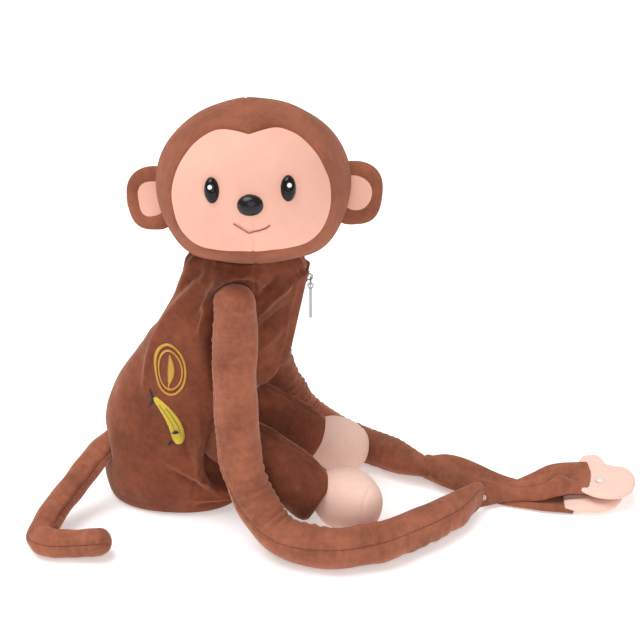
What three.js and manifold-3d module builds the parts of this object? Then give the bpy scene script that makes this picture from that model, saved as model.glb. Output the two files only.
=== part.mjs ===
// Stuffed monkey with a zipped body bag, long arms that end in flat straps and mitten hands, and a long
// bent tail. It sits on its bag, with the head turned to its right and the arms crossed in front.
// Millimetres. +X is the way the belly faces, +Y is the monkey's left, +Z is up, the floor is z = 0.
import * as THREE from 'three';
import { mergeVertices } from 'three/addons/utils/BufferGeometryUtils.js';
import Module from 'manifold-3d';

const wasm = await Module();
wasm.setup();

// ---------------------------------------------------------------- driving dimensions
const GAP = 0.3; // clearance between touching pieces
const CLOTH = 1.8; // thickness of the plush skins

// Body bag: height, back X, front X and half width at that height
const BAG = [
  [0, -55, 55, 47],
  [4, -68, 58, 53],
  [14, -74, 61, 57],
  [50, -77, 63, 61],
  [88, -75, 67, 61],
  [120, -63, 82, 57],
  [148, -44, 98, 52],
  [175, -22, 101, 48],
  [205, -2, 108, 44],
  [228, 9, 115, 42],
  [244, 15, 114, 39],
];
const BAG_TOP = 244;
const BAG_SIDES = 24;
const BASE_HEIGHT = 8; // the base panel turns up this far
const SIDE_SEAM = { top: 66, bottom: 8 }; // X of the side seam at the neck and at the floor

// Zip down the chest
const ZIP_TOP = new THREE.Vector3(119.5, 0, 241);
const ZIP_BOTTOM = new THREE.Vector3(102.5, 0, 154);
const ZIP_HALF = 7.8; // half width of the opening that the tapes fill
const TAPE = { width: 6, thick: 0.8 };
const COIL = { width: 1.5, thick: 1.8 };
const STOP_HEIGHT = 3;
const SLIDER = { length: 11, width: 8, plate: 1.6, start: 6.5 };
const RING_RADIUS = 4.4;
const PULL_LENGTH = 33;

// Embroidery on the right flank, as X and Z of its middle
const STITCH = 0.9; // height of the stitches
const BADGE = { centre: [0, 154], halfWidth: 15.5, halfHeight: 24.5, line: 1.6, inner: 0.78 };
const LEAF = { halfLength: 12, halfWidth: 4 };
const BANANA_CENTRE = [-1.5, 105];

// Head, in its own frame: x out of the face, y to the monkey's left, z up
const HEAD_CENTRE = new THREE.Vector3(72, -4, 329);
const HEAD = { depth: 82, width: 87, height: 76 };
const HEAD_TURN = -85; // degrees from the way the belly faces
const HEAD_PITCH = 20;
const HEAD_ROLL = 1.5;
const NECK = new THREE.Vector3(66, 0, BAG_TOP);
const NECK_RADIUS = 34;
const EYE = { y: 32.5, z: -2, halfWidth: 6.8, halfHeight: 11, dome: 5.5 };
const NOSE = { y: 0, z: -16, halfWidth: 11.5, halfHeight: 9, dome: 8 };
const EAR = { x: -10, y: 92, z: -13, radius: 29, halfThick: 8 };
const FACE_HALF = [
  [0, 45.5], [10, 48], [25, 50.5], [38, 45.5], [50, 36.5], [61, 22], [68.5, 3],
  [69.5, -10], [66.5, -25], [58, -41], [45, -50.5], [30, -55], [15, -57.5], [0, -58.2],
];

// Limbs
const ARM_RADIUS = 19.3;
const RIGHT_ARM = {
  side: 'right',
  route: [
    [62, -52, 226], [61, -64, 206], [61, -74, 171], [63.5, -83, 122], [71, -93, 74],
    [86, -103, 43], [107, -114, 24.5], [131, -120, 20], [161, -121.5, 20], [192, -111.5, 19.8],
    [216, -94.5, 19], [240, -73, 18], [264, -49, 17.3], [290, -21, 17],
  ],
  endRadius: 16.2,
  strap: [[290, -20, 27], [310, -8, 36], [333, 4, 46], [357, 13, 52], [383, 17, 54]],
  strapLift: { low: 6.8, high: 14.5, from: 318, to: 356 },
  hand: { x: 384.5, y: 17, bottom: 14, thick: 11 },
};
const LEFT_ARM = {
  side: 'left',
  route: [
    [62, 52, 226], [63, 63, 206], [68, 71, 171], [77, 76, 134], [85, 84, 94],
    [93, 93, 54], [108, 101, 28], [132, 98, 20], [158, 82, 19], [178, 66.5, 18],
    [199, 51, 17], [222, 35, 16.5],
  ],
  endRadius: 15.2,
  strap: [[222, 35, 27], [249, 25, 44], [278, 19, 52], [306, 12, 50], [335, 3, 44], [371, -2, 40]],
  strapLift: { low: 0.8, high: 0.8, from: 0, to: 1 },
  hand: { x: 372, y: 2, bottom: 0.8, thick: 11 },
};
const STRAP_THICK = 4.4;

const LEG = { radius: 26, flat: 0.88, length: 92 };
const LEGS = [
  { side: 'right', hip: [56, -34, 86], ankle: [134, -57, 38], foot: [162, -58, 31.5] },
  { side: 'left', hip: [54, 27, 86], ankle: [119, 37, 38], foot: [146, 36.5, 31.5] },
];
const FOOT = { length: 33, width: 25, height: 33.5 };

const TAIL = { radius: 13, root: [-70, -22, 50], elbow: [-117, -126, 14] };
const TAIL_UPPER = [TAIL.root, [-85, -38, 43], [-98, -56, 34], [-108, -76, 24], [-114, -98, 16.5], TAIL.elbow];
const TAIL_LOWER = [TAIL.elbow, [-104, -130, 14], [-86, -129, 14], [-68, -126, 14]];

// ---------------------------------------------------------------- materials
const cloth = (color) => new THREE.MeshStandardMaterial({ color, roughness: 0.95, metalness: 0 });
const MATERIALS = {
  brown: cloth(0x9a5f45),
  peach: cloth(0xf0c6b0),
  filling: cloth(0xf4f2ec),
  tape: cloth(0x5a3425),
  gold: cloth(0xd9a33a),
  yellow: cloth(0xe0c62c),
  mouth: cloth(0x9c3f36),
  black: new THREE.MeshStandardMaterial({ color: 0x0a0a0a, roughness: 0.08, metalness: 0 }),
  washer: new THREE.MeshStandardMaterial({ color: 0xd8d8d4, roughness: 0.5, metalness: 0 }),
  snap: new THREE.MeshStandardMaterial({ color: 0xf2f2f0, roughness: 0.3, metalness: 0 }),
  steel: new THREE.MeshStandardMaterial({ color: 0xb9b9b6, roughness: 0.3, metalness: 1 }),
};

const monkey = new THREE.Group();

// ---------------------------------------------------------------- geometry helpers
const radians = THREE.MathUtils.degToRad;
const point = (p) => new THREE.Vector3(p[0], p[1], p[2]);
const mix = (a, b, t) => a + (b - a) * t;

// A manifold solid from any closed geometry: merged, without collapsed triangles, facing out
function solidOf(geometry) {
  const bare = geometry.clone();
  bare.deleteAttribute('normal');
  bare.deleteAttribute('uv');
  const merged = mergeVertices(bare, 1e-4);
  const xyz = merged.attributes.position.array;
  const corners = merged.index.array;
  const kept = [];
  let volume = 0;
  for (let i = 0; i < corners.length; i += 3) {
    const [a, b, c] = corners.slice(i, i + 3);
    if (a === b || b === c || c === a) continue;
    kept.push(a, b, c);
    const [p, q, r] = [a, b, c].map((k) => new THREE.Vector3().fromArray(xyz, k * 3));
    volume += p.dot(q.cross(r));
  }
  if (volume < 0) kept.reverse();
  const mesh = new wasm.Mesh({
    numProp: 3,
    vertProperties: Float32Array.from(xyz),
    triVerts: Uint32Array.from(kept),
  });
  return new wasm.Manifold(mesh);
}

function geometryOf(solid) {
  const mesh = solid.getMesh();
  const geometry = new THREE.BufferGeometry();
  geometry.setAttribute('position', new THREE.BufferAttribute(mesh.vertProperties, 3));
  geometry.setIndex(new THREE.BufferAttribute(mesh.triVerts, 1));
  geometry.computeVertexNormals();
  return geometry;
}

function place(name, solid, material, parent = monkey) {
  const mesh = new THREE.Mesh(geometryOf(solid), material.clone());
  mesh.name = name;
  parent.add(mesh);
  return mesh;
}

// Moves every corner of a geometry by a function of its place
function warp(geometry, move) {
  const places = geometry.attributes.position;
  const p = new THREE.Vector3();
  for (let i = 0; i < places.count; i += 1) {
    move(p.fromBufferAttribute(places, i));
    places.setXYZ(i, p.x, p.y, p.z);
  }
  return geometry;
}

// Turned solid about the Z axis from [radius, height] pairs
function turned(profile, sides) {
  const outline = profile.map(([radius, height]) => new THREE.Vector2(radius, height));
  return new THREE.LatheGeometry(outline, sides).rotateX(Math.PI / 2);
}

function ellipsoid(centre, radii, sides, rings) {
  return new THREE.SphereGeometry(1, sides, rings).scale(...radii).translate(...centre);
}

function box(low, high) {
  const size = high.map((value, i) => value - low[i]);
  const middle = high.map((value, i) => (value + low[i]) / 2);
  return new THREE.BoxGeometry(...size).translate(...middle);
}

// Value of one column of a table at a height, with smooth steps between its rows
function column(table, height, index) {
  const last = table.length - 1;
  if (height <= table[0][0]) return table[0][index];
  if (height >= table[last][0]) return table[last][index];
  const row = table.findIndex((entry) => entry[0] > height) - 1;
  const curve = (k) => table[Math.min(Math.max(k, 0), last)];
  const span = curve(row + 1)[0] - curve(row)[0];
  const slope = (k) => {
    const rise = curve(k + 1)[index] - curve(k - 1)[index];
    return rise / (curve(k + 1)[0] - curve(k - 1)[0]);
  };
  const t = (height - curve(row)[0]) / span;
  const [start, end] = [curve(row)[index], curve(row + 1)[index]];
  const a = (2 * t - 3) * t * t + 1;
  const b = ((t - 2) * t + 1) * t * span * slope(row);
  const c = (3 - 2 * t) * t * t;
  const d = (t - 1) * t * t * span * slope(row + 1);
  return a * start + b + c * end + d;
}

// Tube along a route whose radius eases from one end to the other
function tube(route, radius, endRadius, sides, steps) {
  const curve = new THREE.CatmullRomCurve3(route.map(point), false, 'centripetal');
  const section = new THREE.Shape();
  for (let k = 0; k < sides; k += 1) {
    const angle = (k / sides) * 2 * Math.PI;
    const corner = [Math.cos(angle) * radius, Math.sin(angle) * radius];
    if (k === 0) section.moveTo(...corner);
    else section.lineTo(...corner);
  }
  const geometry = new THREE.ExtrudeGeometry(section, { steps, extrudePath: curve });
  const stations = curve.getSpacedPoints(steps);
  return warp(geometry, (p) => {
    const distances = stations.map((station) => station.distanceToSquared(p));
    const nearest = distances.indexOf(Math.min(...distances));
    const scale = mix(1, endRadius / radius, (nearest / steps) ** 2);
    p.sub(stations[nearest]).multiplyScalar(scale).add(stations[nearest]);
  });
}

// ---------------------------------------------------------------- body bag
// Surface of the bag: centre and half sizes at a height
function bagAt(z) {
  const back = column(BAG, z, 1);
  const front = column(BAG, z, 2);
  return { x: (back + front) / 2, along: (front - back) / 2, across: column(BAG, z, 3) };
}

function bagSolid(profile, inset) {
  return solidOf(warp(turned(profile, BAG_SIDES), (p) => {
    const { x, along, across } = bagAt(p.z);
    p.x = x + p.x * (along - inset);
    p.y *= across - inset;
  }));
}

const heights = [0, 4, 14, 32, 50, 70, 88, 104, 120, 148, 175, 205, 228, BAG_TOP];
const wall = (levels) => levels.map((z) => [1, z]);
const bagProfile = [[0, 0], ...wall(heights), [0, BAG_TOP]];
const outerBag = bagSolid(bagProfile, 0);
const roomTop = BAG_TOP + 1;
const bagRoom = bagSolid([[0, CLOTH], ...wall(heights.slice(1)), [1, roomTop], [0, roomTop]], CLOTH);
const fillingHeights = heights.slice(1, -1);
const fillingProfile = [[0, CLOTH + GAP], ...wall(fillingHeights), [0, fillingHeights.at(-1)]];
const filling = bagSolid(fillingProfile, CLOTH + GAP);

// ---------------------------------------------------------------- arms
// Flat cloth strap along its stations, round at the end that turns on the arm
function strap(arm) {
  const rows = arm.strap.length - 1;
  const { low, high, from, to } = arm.strapLift;
  const lift = (x) => mix(low, high, THREE.MathUtils.smoothstep(x, from, to));
  const band = new THREE.BoxGeometry(rows, 1, STRAP_THICK, rows, 1, 1);
  warp(band, (p) => {
    const i = Math.round(p.x + rows / 2);
    const [x, y, width] = arm.strap[i];
    const next = arm.strap[Math.min(i + 1, rows)];
    const last = arm.strap[Math.max(i - 1, 0)];
    const way = i === rows ? new THREE.Vector2(1, 0) : new THREE.Vector2(next[0] - last[0], next[1] - last[1]);
    way.normalize();
    p.set(x - way.y * p.y * width, y + way.x * p.y * width, p.z + STRAP_THICK / 2 + lift(x));
  });
  const [x, y, width] = arm.strap[0];
  const end = new THREE.CylinderGeometry(width / 2, width / 2, STRAP_THICK, 14)
    .rotateX(Math.PI / 2)
    .translate(x, y, STRAP_THICK / 2 + low);
  return solidOf(band).add(solidOf(end));
}

// Mitten with a thumb, lying flat: fingers to +X, thumb to +Y
function hand({ x, y, bottom, thick }) {
  const outline = new THREE.Shape();
  outline.moveTo(0, -26);
  outline.quadraticCurveTo(14, -39, 34, -33);
  outline.bezierCurveTo(56, -26, 58, 8, 44, 17);
  outline.quadraticCurveTo(34, 19, 24, 24);
  outline.bezierCurveTo(24, 44, 6, 44, 4, 34);
  outline.lineTo(0, 26);
  const bevel = { bevelEnabled: true, bevelThickness: 2, bevelSize: 2, bevelOffset: -2, bevelSegments: 1 };
  const geometry = new THREE.ExtrudeGeometry(outline, { depth: thick - 4, curveSegments: 5, ...bevel });
  return solidOf(geometry.translate(x, y, bottom + 2));
}

function snap(radius, height) {
  const profile = [[0, 0], [radius, 0], [radius, height * 0.5], [radius * 0.6, height], [0, height]];
  return turned(profile, 12);
}

function buildArm(arm) {
  const { side, route, endRadius } = arm;
  const pivot = [arm.strap[0][0], arm.strap[0][1], 0];
  const skin = (inset) => solidOf(tube(route, ARM_RADIUS - inset, endRadius - inset, 10, 18));
  const shoulder = solidOf(ellipsoid(route[0], [ARM_RADIUS, ARM_RADIUS, ARM_RADIUS], 10, 6));
  const endRoom = (extra) => solidOf(
    new THREE.CylinderGeometry(17.5 + extra, 17.5 + extra, 90, 16).rotateX(Math.PI / 2).translate(...pivot),
  );
  const sleeve = skin(0).add(shoulder).subtract(skin(CLOTH)).subtract(endRoom(0));
  place(`arm_${side}_sleeve`, sleeve, MATERIALS.brown);
  place(`arm_${side}_stuffing`, skin(CLOTH + GAP).subtract(endRoom(2)), MATERIALS.filling);
  place(`strap_${side}`, strap(arm), MATERIALS.brown);
  place(`hand_${side}`, hand(arm.hand), MATERIALS.peach);
}

[RIGHT_ARM, LEFT_ARM].forEach(buildArm);

// Snap fastener halves: one on each hand and one near the end of each arm's stuffing
function placeSnap(name, centre, radius) {
  place(name, solidOf(snap(radius, 2.4).translate(...centre)), MATERIALS.snap);
}
placeSnap('snap_cap_right_hand', [403, 6, RIGHT_ARM.hand.bottom + RIGHT_ARM.hand.thick + GAP], 6.2);
placeSnap('snap_socket_right_strap', [299, -15, RIGHT_ARM.strapLift.low + STRAP_THICK + GAP], 5.2);
placeSnap('snap_stud_left_strap', [262, 22, LEFT_ARM.strapLift.low + STRAP_THICK + GAP], 5.2);

// ---------------------------------------------------------------- legs
// Matrix that takes +Z along a line from a to b, with local X as near to up as it can be
function along(a, b) {
  const z = point(b).sub(point(a)).normalize();
  const y = new THREE.Vector3(0, 0, 1).cross(z).normalize();
  const x = new THREE.Vector3().crossVectors(y, z);
  return new THREE.Matrix4().makeBasis(x, y, z).setPosition(point(a));
}

function legSolid(leg, inset, length, sides, arcs = 4) {
  const radius = LEG.radius - inset;
  const profile = [];
  for (let step = 0; step <= arcs; step += 1) {
    const angle = (step / arcs) * (Math.PI / 2);
    profile.push([radius * Math.sin(angle), -radius * Math.cos(angle)]);
  }
  profile.push([radius, length * 0.5], [radius * 0.95, length], [0, length]);
  const geometry = turned(profile, sides).scale(1, LEG.flat, 1);
  return solidOf(geometry.applyMatrix4(along(leg.hip, leg.ankle)));
}

const floorRoom = solidOf(box([-600, -600, -50], [600, 600, 0]));
function buildLeg(leg) {
  const skin = legSolid(leg, 0, LEG.length, 14);
  const roomy = legSolid(leg, -GAP, LEG.length + 1, 14);
  const sleeve = skin.subtract(legSolid(leg, CLOTH, LEG.length + 2, 14));
  place(`leg_${leg.side}_sleeve`, sleeve, MATERIALS.brown);
  place(`leg_${leg.side}_stuffing`, legSolid(leg, CLOTH + GAP, LEG.length - 2, 14), MATERIALS.filling);

  const footRadii = [FOOT.length, FOOT.width, FOOT.height];
  const foot = (inset) => solidOf(ellipsoid(leg.foot, footRadii.map((radius) => radius - inset), 14, 8));
  const shell = foot(0).subtract(foot(CLOTH)).subtract(roomy).subtract(floorRoom);
  const sole = foot(0).intersect(solidOf(box([0, -200, 0], [400, 200, CLOTH]))).subtract(roomy);
  place(`foot_${leg.side}`, shell.add(sole), MATERIALS.peach);
  const raisedFloor = solidOf(box([-600, -600, -50], [600, 600, CLOTH + GAP]));
  const plug = foot(CLOTH + GAP).subtract(legSolid(leg, -GAP, LEG.length, 14)).subtract(raisedFloor);
  place(`foot_${leg.side}_stuffing`, plug, MATERIALS.filling);
}
LEGS.forEach(buildLeg);

// ---------------------------------------------------------------- tail
const tailSkin = (route, inset, steps) => solidOf(
  tube(route, TAIL.radius - inset, TAIL.radius - inset, 10, steps),
);
const ballAt = (centre, radius) => solidOf(ellipsoid(centre, [radius, radius, radius], 10, 6));
const tailTip = TAIL_LOWER.at(-1);
const upperSkin = (inset) => tailSkin(TAIL_UPPER, inset, 7);
const lowerSkin = (inset) => tailSkin(TAIL_LOWER, inset, 4);
const lowerOutside = (inset) => lowerSkin(inset)
  .add(ballAt(TAIL.elbow, TAIL.radius - inset))
  .add(ballAt(tailTip, TAIL.radius - inset));
const elbowRoom = ballAt(TAIL.elbow, TAIL.radius + 1.5); // the elbow ball turns in this hollow
const lowerRoom = lowerOutside(-2 * GAP).add(elbowRoom);
place('tail_upper_sleeve', upperSkin(0).subtract(upperSkin(CLOTH)).subtract(lowerRoom), MATERIALS.brown);
place('tail_upper_stuffing', upperSkin(CLOTH + GAP).subtract(lowerRoom), MATERIALS.filling);
const slit = solidOf(box([-112, -131, 14], [-75, -127, 40])); // seam left open for the filling
place('tail_lower_sleeve', lowerOutside(0).subtract(lowerSkin(CLOTH)).subtract(slit), MATERIALS.brown);
place('tail_lower_stuffing', lowerSkin(CLOTH + GAP), MATERIALS.filling);

// ---------------------------------------------------------------- bag panels
// Hollows in the bag where the shoulders, hips and tail root turn through their whole travel
const hollowAt = ([x, y, z], radii) => solidOf(ellipsoid([x, y, z], radii, 12, 8));
const rooms = [
  ...LEGS.map(({ hip: [x, y, z] }) => hollowAt([x + 5, y, z + 2], [41, 29.5, 39])),
  ...[RIGHT_ARM, LEFT_ARM].map(({ route: [[x, y, z]] }) => hollowAt([x - 4, y * 1.04, z - 8], [28, 25, 36])),
  hollowAt(TAIL.root, [19.5, 19.5, 19.5]),
];
const room = rooms.reduce((all, next) => all.add(next));

const zipAxis = new THREE.Vector3().subVectors(ZIP_BOTTOM, ZIP_TOP);
const zipLength = zipAxis.length();
const zipSlot = solidOf(box([60, -ZIP_HALF, ZIP_BOTTOM.z - 1], [160, ZIP_HALF, BAG_TOP + 2]));
const behindSeam = (shift) => {
  const outline = new THREE.Shape();
  outline.moveTo(-200, -5);
  outline.lineTo(SIDE_SEAM.bottom + shift, -5);
  outline.lineTo(SIDE_SEAM.top + shift, BAG_TOP + 5);
  outline.lineTo(-200, BAG_TOP + 5);
  const slab = new THREE.ExtrudeGeometry(outline, { depth: 300, bevelEnabled: false });
  return solidOf(slab.rotateX(Math.PI / 2).translate(0, 150, 0));
};
const bagSkin = outerBag.subtract(bagRoom);
const aboveBase = solidOf(box([-200, -200, BASE_HEIGHT + GAP], [300, 200, 300]));
const upperBag = bagSkin.intersect(aboveBase).subtract(room).subtract(zipSlot);
const rightHalf = solidOf(box([-200, -200, -5], [300, -GAP / 2, 300]));
const leftHalf = solidOf(box([-200, GAP / 2, -5], [300, 200, 300]));
const front = upperBag.subtract(behindSeam(GAP));
const aboveSeam = solidOf(box([-200, -200, BASE_HEIGHT], [300, 200, 300]));
place('bag_base_panel', bagSkin.subtract(aboveSeam), MATERIALS.brown);
place('bag_back_panel', upperBag.intersect(behindSeam(0)), MATERIALS.brown);
place('bag_front_right_panel', front.intersect(rightHalf), MATERIALS.brown);
place('bag_front_left_panel', front.intersect(leftHalf), MATERIALS.brown);
place('bag_filling', filling.subtract(room).subtract(zipSlot), MATERIALS.filling);

// ---------------------------------------------------------------- zip
// In its own frame: x out of the chest, y to the monkey's left, z up along the zip from its top
const zip = new THREE.Group();
zip.position.copy(ZIP_TOP);
zip.rotation.y = Math.atan2(ZIP_TOP.x - ZIP_BOTTOM.x, ZIP_TOP.z - ZIP_BOTTOM.z);
monkey.add(zip);

[['right', -1], ['left', 1]].forEach(([side, sign]) => {
  const inner = COIL.width + GAP;
  const strip = (near, far, low, high, bottom) => {
    const [from, to] = [sign * near, sign * far].sort((a, b) => a - b);
    return solidOf(box([low, from, bottom], [high, to, 0]));
  };
  const tape = strip(inner, inner + TAPE.width - GAP, -TAPE.thick, 0, -zipLength);
  place(`zip_tape_${side}`, tape, MATERIALS.tape, zip);
  const coil = strip(GAP / 2, COIL.width, -COIL.thick / 2, COIL.thick / 2, STOP_HEIGHT - zipLength);
  place(`zip_coil_${side}`, coil, MATERIALS.tape, zip);
});

const stop = solidOf(box([GAP, -2.4, -zipLength], [2, 2.4, STOP_HEIGHT - zipLength - GAP]));
place('zip_bottom_stop', stop, MATERIALS.steel, zip);

// Slider: a plate over the coil, with side lips and an arch that holds the ring
const sliderLow = COIL.thick / 2 + GAP;
const plate = solidOf(new THREE.CylinderGeometry(SLIDER.width / 2, SLIDER.width / 2, SLIDER.plate, 14)
  .rotateZ(Math.PI / 2)
  .scale(1, 1, SLIDER.length / SLIDER.width)
  .translate(sliderLow + SLIDER.plate / 2, 0, -SLIDER.start));
const archRadius = 3;
const arch = solidOf(new THREE.TorusGeometry(archRadius, 0.9, 6, 12)
  .rotateX(Math.PI / 2)
  .translate(sliderLow + SLIDER.plate + 0.8, 0, -SLIDER.start));
const above = solidOf(box([sliderLow + 0.1, -6, -SLIDER.start - 8], [20, 6, -SLIDER.start + 8]));
place('zip_slider', plate.add(arch.intersect(above)), MATERIALS.steel, zip);

// The ring hangs straight down from the arch, and the bar hangs from the ring
const archTop = new THREE.Vector3(sliderLow + SLIDER.plate + 1.9, 0, -SLIDER.start);
zip.updateMatrix();
const hang = archTop.clone().applyMatrix4(zip.matrix);
const ringCentre = hang.clone().add(new THREE.Vector3(0, 0, -RING_RADIUS));
const ring = new THREE.TorusGeometry(RING_RADIUS, 0.65, 6, 14).rotateY(Math.PI / 2);
place('zip_pull_ring', solidOf(ring.translate(...ringCentre.toArray())), MATERIALS.steel);
const eyeRadius = 2.5;
const eyeCentre = ringCentre.clone().add(new THREE.Vector3(0, 0, -RING_RADIUS));
const eyelet = new THREE.TorusGeometry(eyeRadius, 0.75, 6, 12).rotateX(Math.PI / 2);
const shank = box([-1.4, -1.1, -PULL_LENGTH], [1.4, 1.1, -eyeRadius - 0.2]);
const pull = solidOf(eyelet).add(solidOf(shank)).translate(eyeCentre.toArray());
place('zip_pull_bar', pull, MATERIALS.steel);

// ---------------------------------------------------------------- embroidery on the right flank
// Each piece is the part of a thin layer over the bag that lies inside an outline in the XZ plane
const swollenBag = (height) => bagSolid(bagProfile, -height);
const layer = swollenBag(GAP + STITCH).subtract(swollenBag(GAP));
function onFlank(outline, centre) {
  const prism = new THREE.ExtrudeGeometry(outline, { depth: 100, bevelEnabled: false, curveSegments: 8 });
  return layer.intersect(solidOf(prism.rotateX(Math.PI / 2).translate(centre[0], 0, centre[1])));
}

function ovalRing(halfWidth, halfHeight, line) {
  const ring = new THREE.Shape().absellipse(0, 0, halfWidth, halfHeight, 0, 2 * Math.PI);
  ring.holes.push(new THREE.Path().absellipse(0, 0, halfWidth - line, halfHeight - line, 0, 2 * Math.PI));
  return ring;
}

function leafShape({ halfLength, halfWidth }) {
  const leaf = new THREE.Shape();
  leaf.moveTo(0, -halfLength);
  leaf.quadraticCurveTo(halfWidth * 2, 0, 0, halfLength);
  leaf.quadraticCurveTo(-halfWidth * 2, 0, 0, -halfLength);
  return leaf;
}

const { halfWidth, halfHeight, line } = BADGE;
const innerRing = ovalRing(halfWidth * BADGE.inner, halfHeight * BADGE.inner, line);
place('badge_outer_ring', onFlank(ovalRing(halfWidth, halfHeight, line), BADGE.centre), MATERIALS.gold);
place('badge_inner_ring', onFlank(innerRing, BADGE.centre), MATERIALS.gold);
place('badge_leaf', onFlank(leafShape(LEAF), BADGE.centre), MATERIALS.gold);

// Banana: a crescent between two arcs, from its stem at the upper left to its tip
const banana = new THREE.Shape();
banana.moveTo(-13, 24);
banana.quadraticCurveTo(14, 12, 14, -22);
banana.lineTo(4, -23);
banana.quadraticCurveTo(4, 2, -15, 18);
place('banana_patch', onFlank(banana, BANANA_CENTRE), MATERIALS.yellow);

// ---------------------------------------------------------------- neck
const stitches = new THREE.TorusGeometry(NECK_RADIUS, 1.6, 6, 20).translate(NECK.x, NECK.y, NECK.z + 2.2);
place('neck_stitching', solidOf(stitches), MATERIALS.tape);

// ---------------------------------------------------------------- head
const head = new THREE.Group();
head.position.copy(HEAD_CENTRE);
head.rotation.set(radians(HEAD_ROLL), radians(-HEAD_PITCH), radians(HEAD_TURN), 'ZYX');
monkey.add(head);

const headRadii = (inset) => [HEAD.depth - inset, HEAD.width - inset, HEAD.height - inset];
const headBall = (inset) => solidOf(ellipsoid([0, 0, 0], headRadii(inset), 22, 12));

// Prism along the face's own direction, from the face outline
function facePrism(scale) {
  const left = FACE_HALF.slice(1, -1).reverse().map(([y, z]) => [-y, z]);
  const corners = [...FACE_HALF, ...left].map(([y, z]) => new THREE.Vector2(y * scale, z * scale));
  const smooth = new THREE.SplineCurve([...corners, corners[0]]).getPoints(36).slice(0, -1);
  const prism = new THREE.ExtrudeGeometry(new THREE.Shape(smooth), { depth: 100, bevelEnabled: false });
  const turn = new THREE.Matrix4().makeBasis(
    new THREE.Vector3(0, 1, 0),
    new THREE.Vector3(0, 0, 1),
    new THREE.Vector3(1, 0, 0),
  );
  return solidOf(prism.applyMatrix4(turn));
}

// Matrix that puts a fitting on the face at (y, z), with +Z out of the head and +X across
function onHead(y, z, inset = 0) {
  const radii = headRadii(inset);
  const x = radii[0] * Math.sqrt(1 - (y / radii[1]) ** 2 - (z / radii[2]) ** 2);
  const out = new THREE.Vector3(x / radii[0] ** 2, y / radii[1] ** 2, z / radii[2] ** 2).normalize();
  const across = new THREE.Vector3(0, 0, 1).cross(out).normalize();
  const up = new THREE.Vector3().crossVectors(out, across);
  return new THREE.Matrix4().makeBasis(across, up, out).setPosition(x, y, z);
}

// Dome with a shank, as a safety eye or nose is, and the washer that holds it inside
const SHANK = 2.2; // radius
const SHANK_LENGTH = 12;
function fitting(name, { y, z, halfWidth, halfHeight, dome }) {
  const matrix = onHead(y, z);
  const base = 0.9;
  const cap = solidOf(new THREE.SphereGeometry(1, 14, 8)
    .rotateX(Math.PI / 2)
    .scale(halfWidth, halfHeight, dome)
    .translate(0, 0, base));
  const outside = solidOf(box([-30, -30, base], [30, 30, 30]));
  const shank = new THREE.CylinderGeometry(SHANK, SHANK, SHANK_LENGTH, 10).rotateX(Math.PI / 2);
  const stem = solidOf(shank.translate(0, 0, base + GAP - SHANK_LENGTH / 2));
  const body = geometryOf(cap.intersect(outside).add(stem)).applyMatrix4(matrix);
  place(name, solidOf(body), MATERIALS.black, head);
  const hole = new THREE.CylinderGeometry(SHANK + GAP, SHANK + GAP, 30, 10).rotateX(Math.PI / 2);
  const disc = (radius, low, high) => new THREE.CylinderGeometry(radius, radius, high - low, 12)
    .rotateX(Math.PI / 2)
    .translate(0, 0, (low + high) / 2);
  const bore = solidOf(hole.clone().applyMatrix4(matrix));
  const washerRoom = solidOf(disc(8.4, -7.5, 2).applyMatrix4(matrix));
  const washer = solidOf(disc(7.4, -6.2, -4).applyMatrix4(matrix)).subtract(bore);
  place(`${name}_washer`, washer, MATERIALS.washer, head);
  return { bore, washerRoom };
}
const fittings = [
  fitting('eye_right', { ...EYE, y: -EYE.y }),
  fitting('eye_left', EYE),
  fitting('nose', NOSE),
];

// Neck opening at the bottom of the head, wherever the head's pitch puts it
const down = new THREE.Vector3(0, 0, -1).applyEuler(new THREE.Euler(0, radians(HEAD_PITCH), 0));
const openingTurn = new THREE.Quaternion().setFromUnitVectors(new THREE.Vector3(0, 1, 0), down);
const opening = solidOf(new THREE.CylinderGeometry(26, 26, 60, 16)
  .translate(0, 70, 0)
  .applyQuaternion(openingTurn));
const skull = headBall(0).subtract(headBall(CLOTH)).subtract(opening);
const brownSkull = skull.subtract(facePrism(1.007));
const rightOfHead = solidOf(box([-99, -99, -99], [99, -GAP / 2, 99]));
const leftOfHead = solidOf(box([-99, GAP / 2, -99], [99, 99, 99]));
place('head_right_panel', brownSkull.intersect(rightOfHead), MATERIALS.brown, head);
place('head_left_panel', brownSkull.intersect(leftOfHead), MATERIALS.brown, head);
const bores = fittings.map(({ bore }) => bore).reduce((all, next) => all.add(next));
place('face_patch', skull.intersect(facePrism(1)).subtract(bores), MATERIALS.peach, head);
const washerRooms = fittings.map(({ washerRoom }) => washerRoom).reduce((all, next) => all.add(next));
const headStuffing = headBall(CLOTH + GAP).subtract(bores).subtract(washerRooms);
place('head_stuffing', headStuffing, MATERIALS.filling, head);

// Mouth: a thread on the face, higher at its ends
const MOUTH = [[-13.5, -31], [-7, -36.5], [0, -38.5], [9, -37], [17, -33.5]];
const THREAD_HEIGHT = 1.3; // how far the thread's middle stands off the face
const mouthPoint = ([y, z]) => new THREE.Vector3().setFromMatrixPosition(onHead(y, z, -THREAD_HEIGHT));
const mouthRoute = MOUTH.map((corner) => mouthPoint(corner).toArray());
place('mouth_thread', solidOf(tube(mouthRoute, 0.7, 0.7, 6, 10)), MATERIALS.mouth, head);

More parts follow.
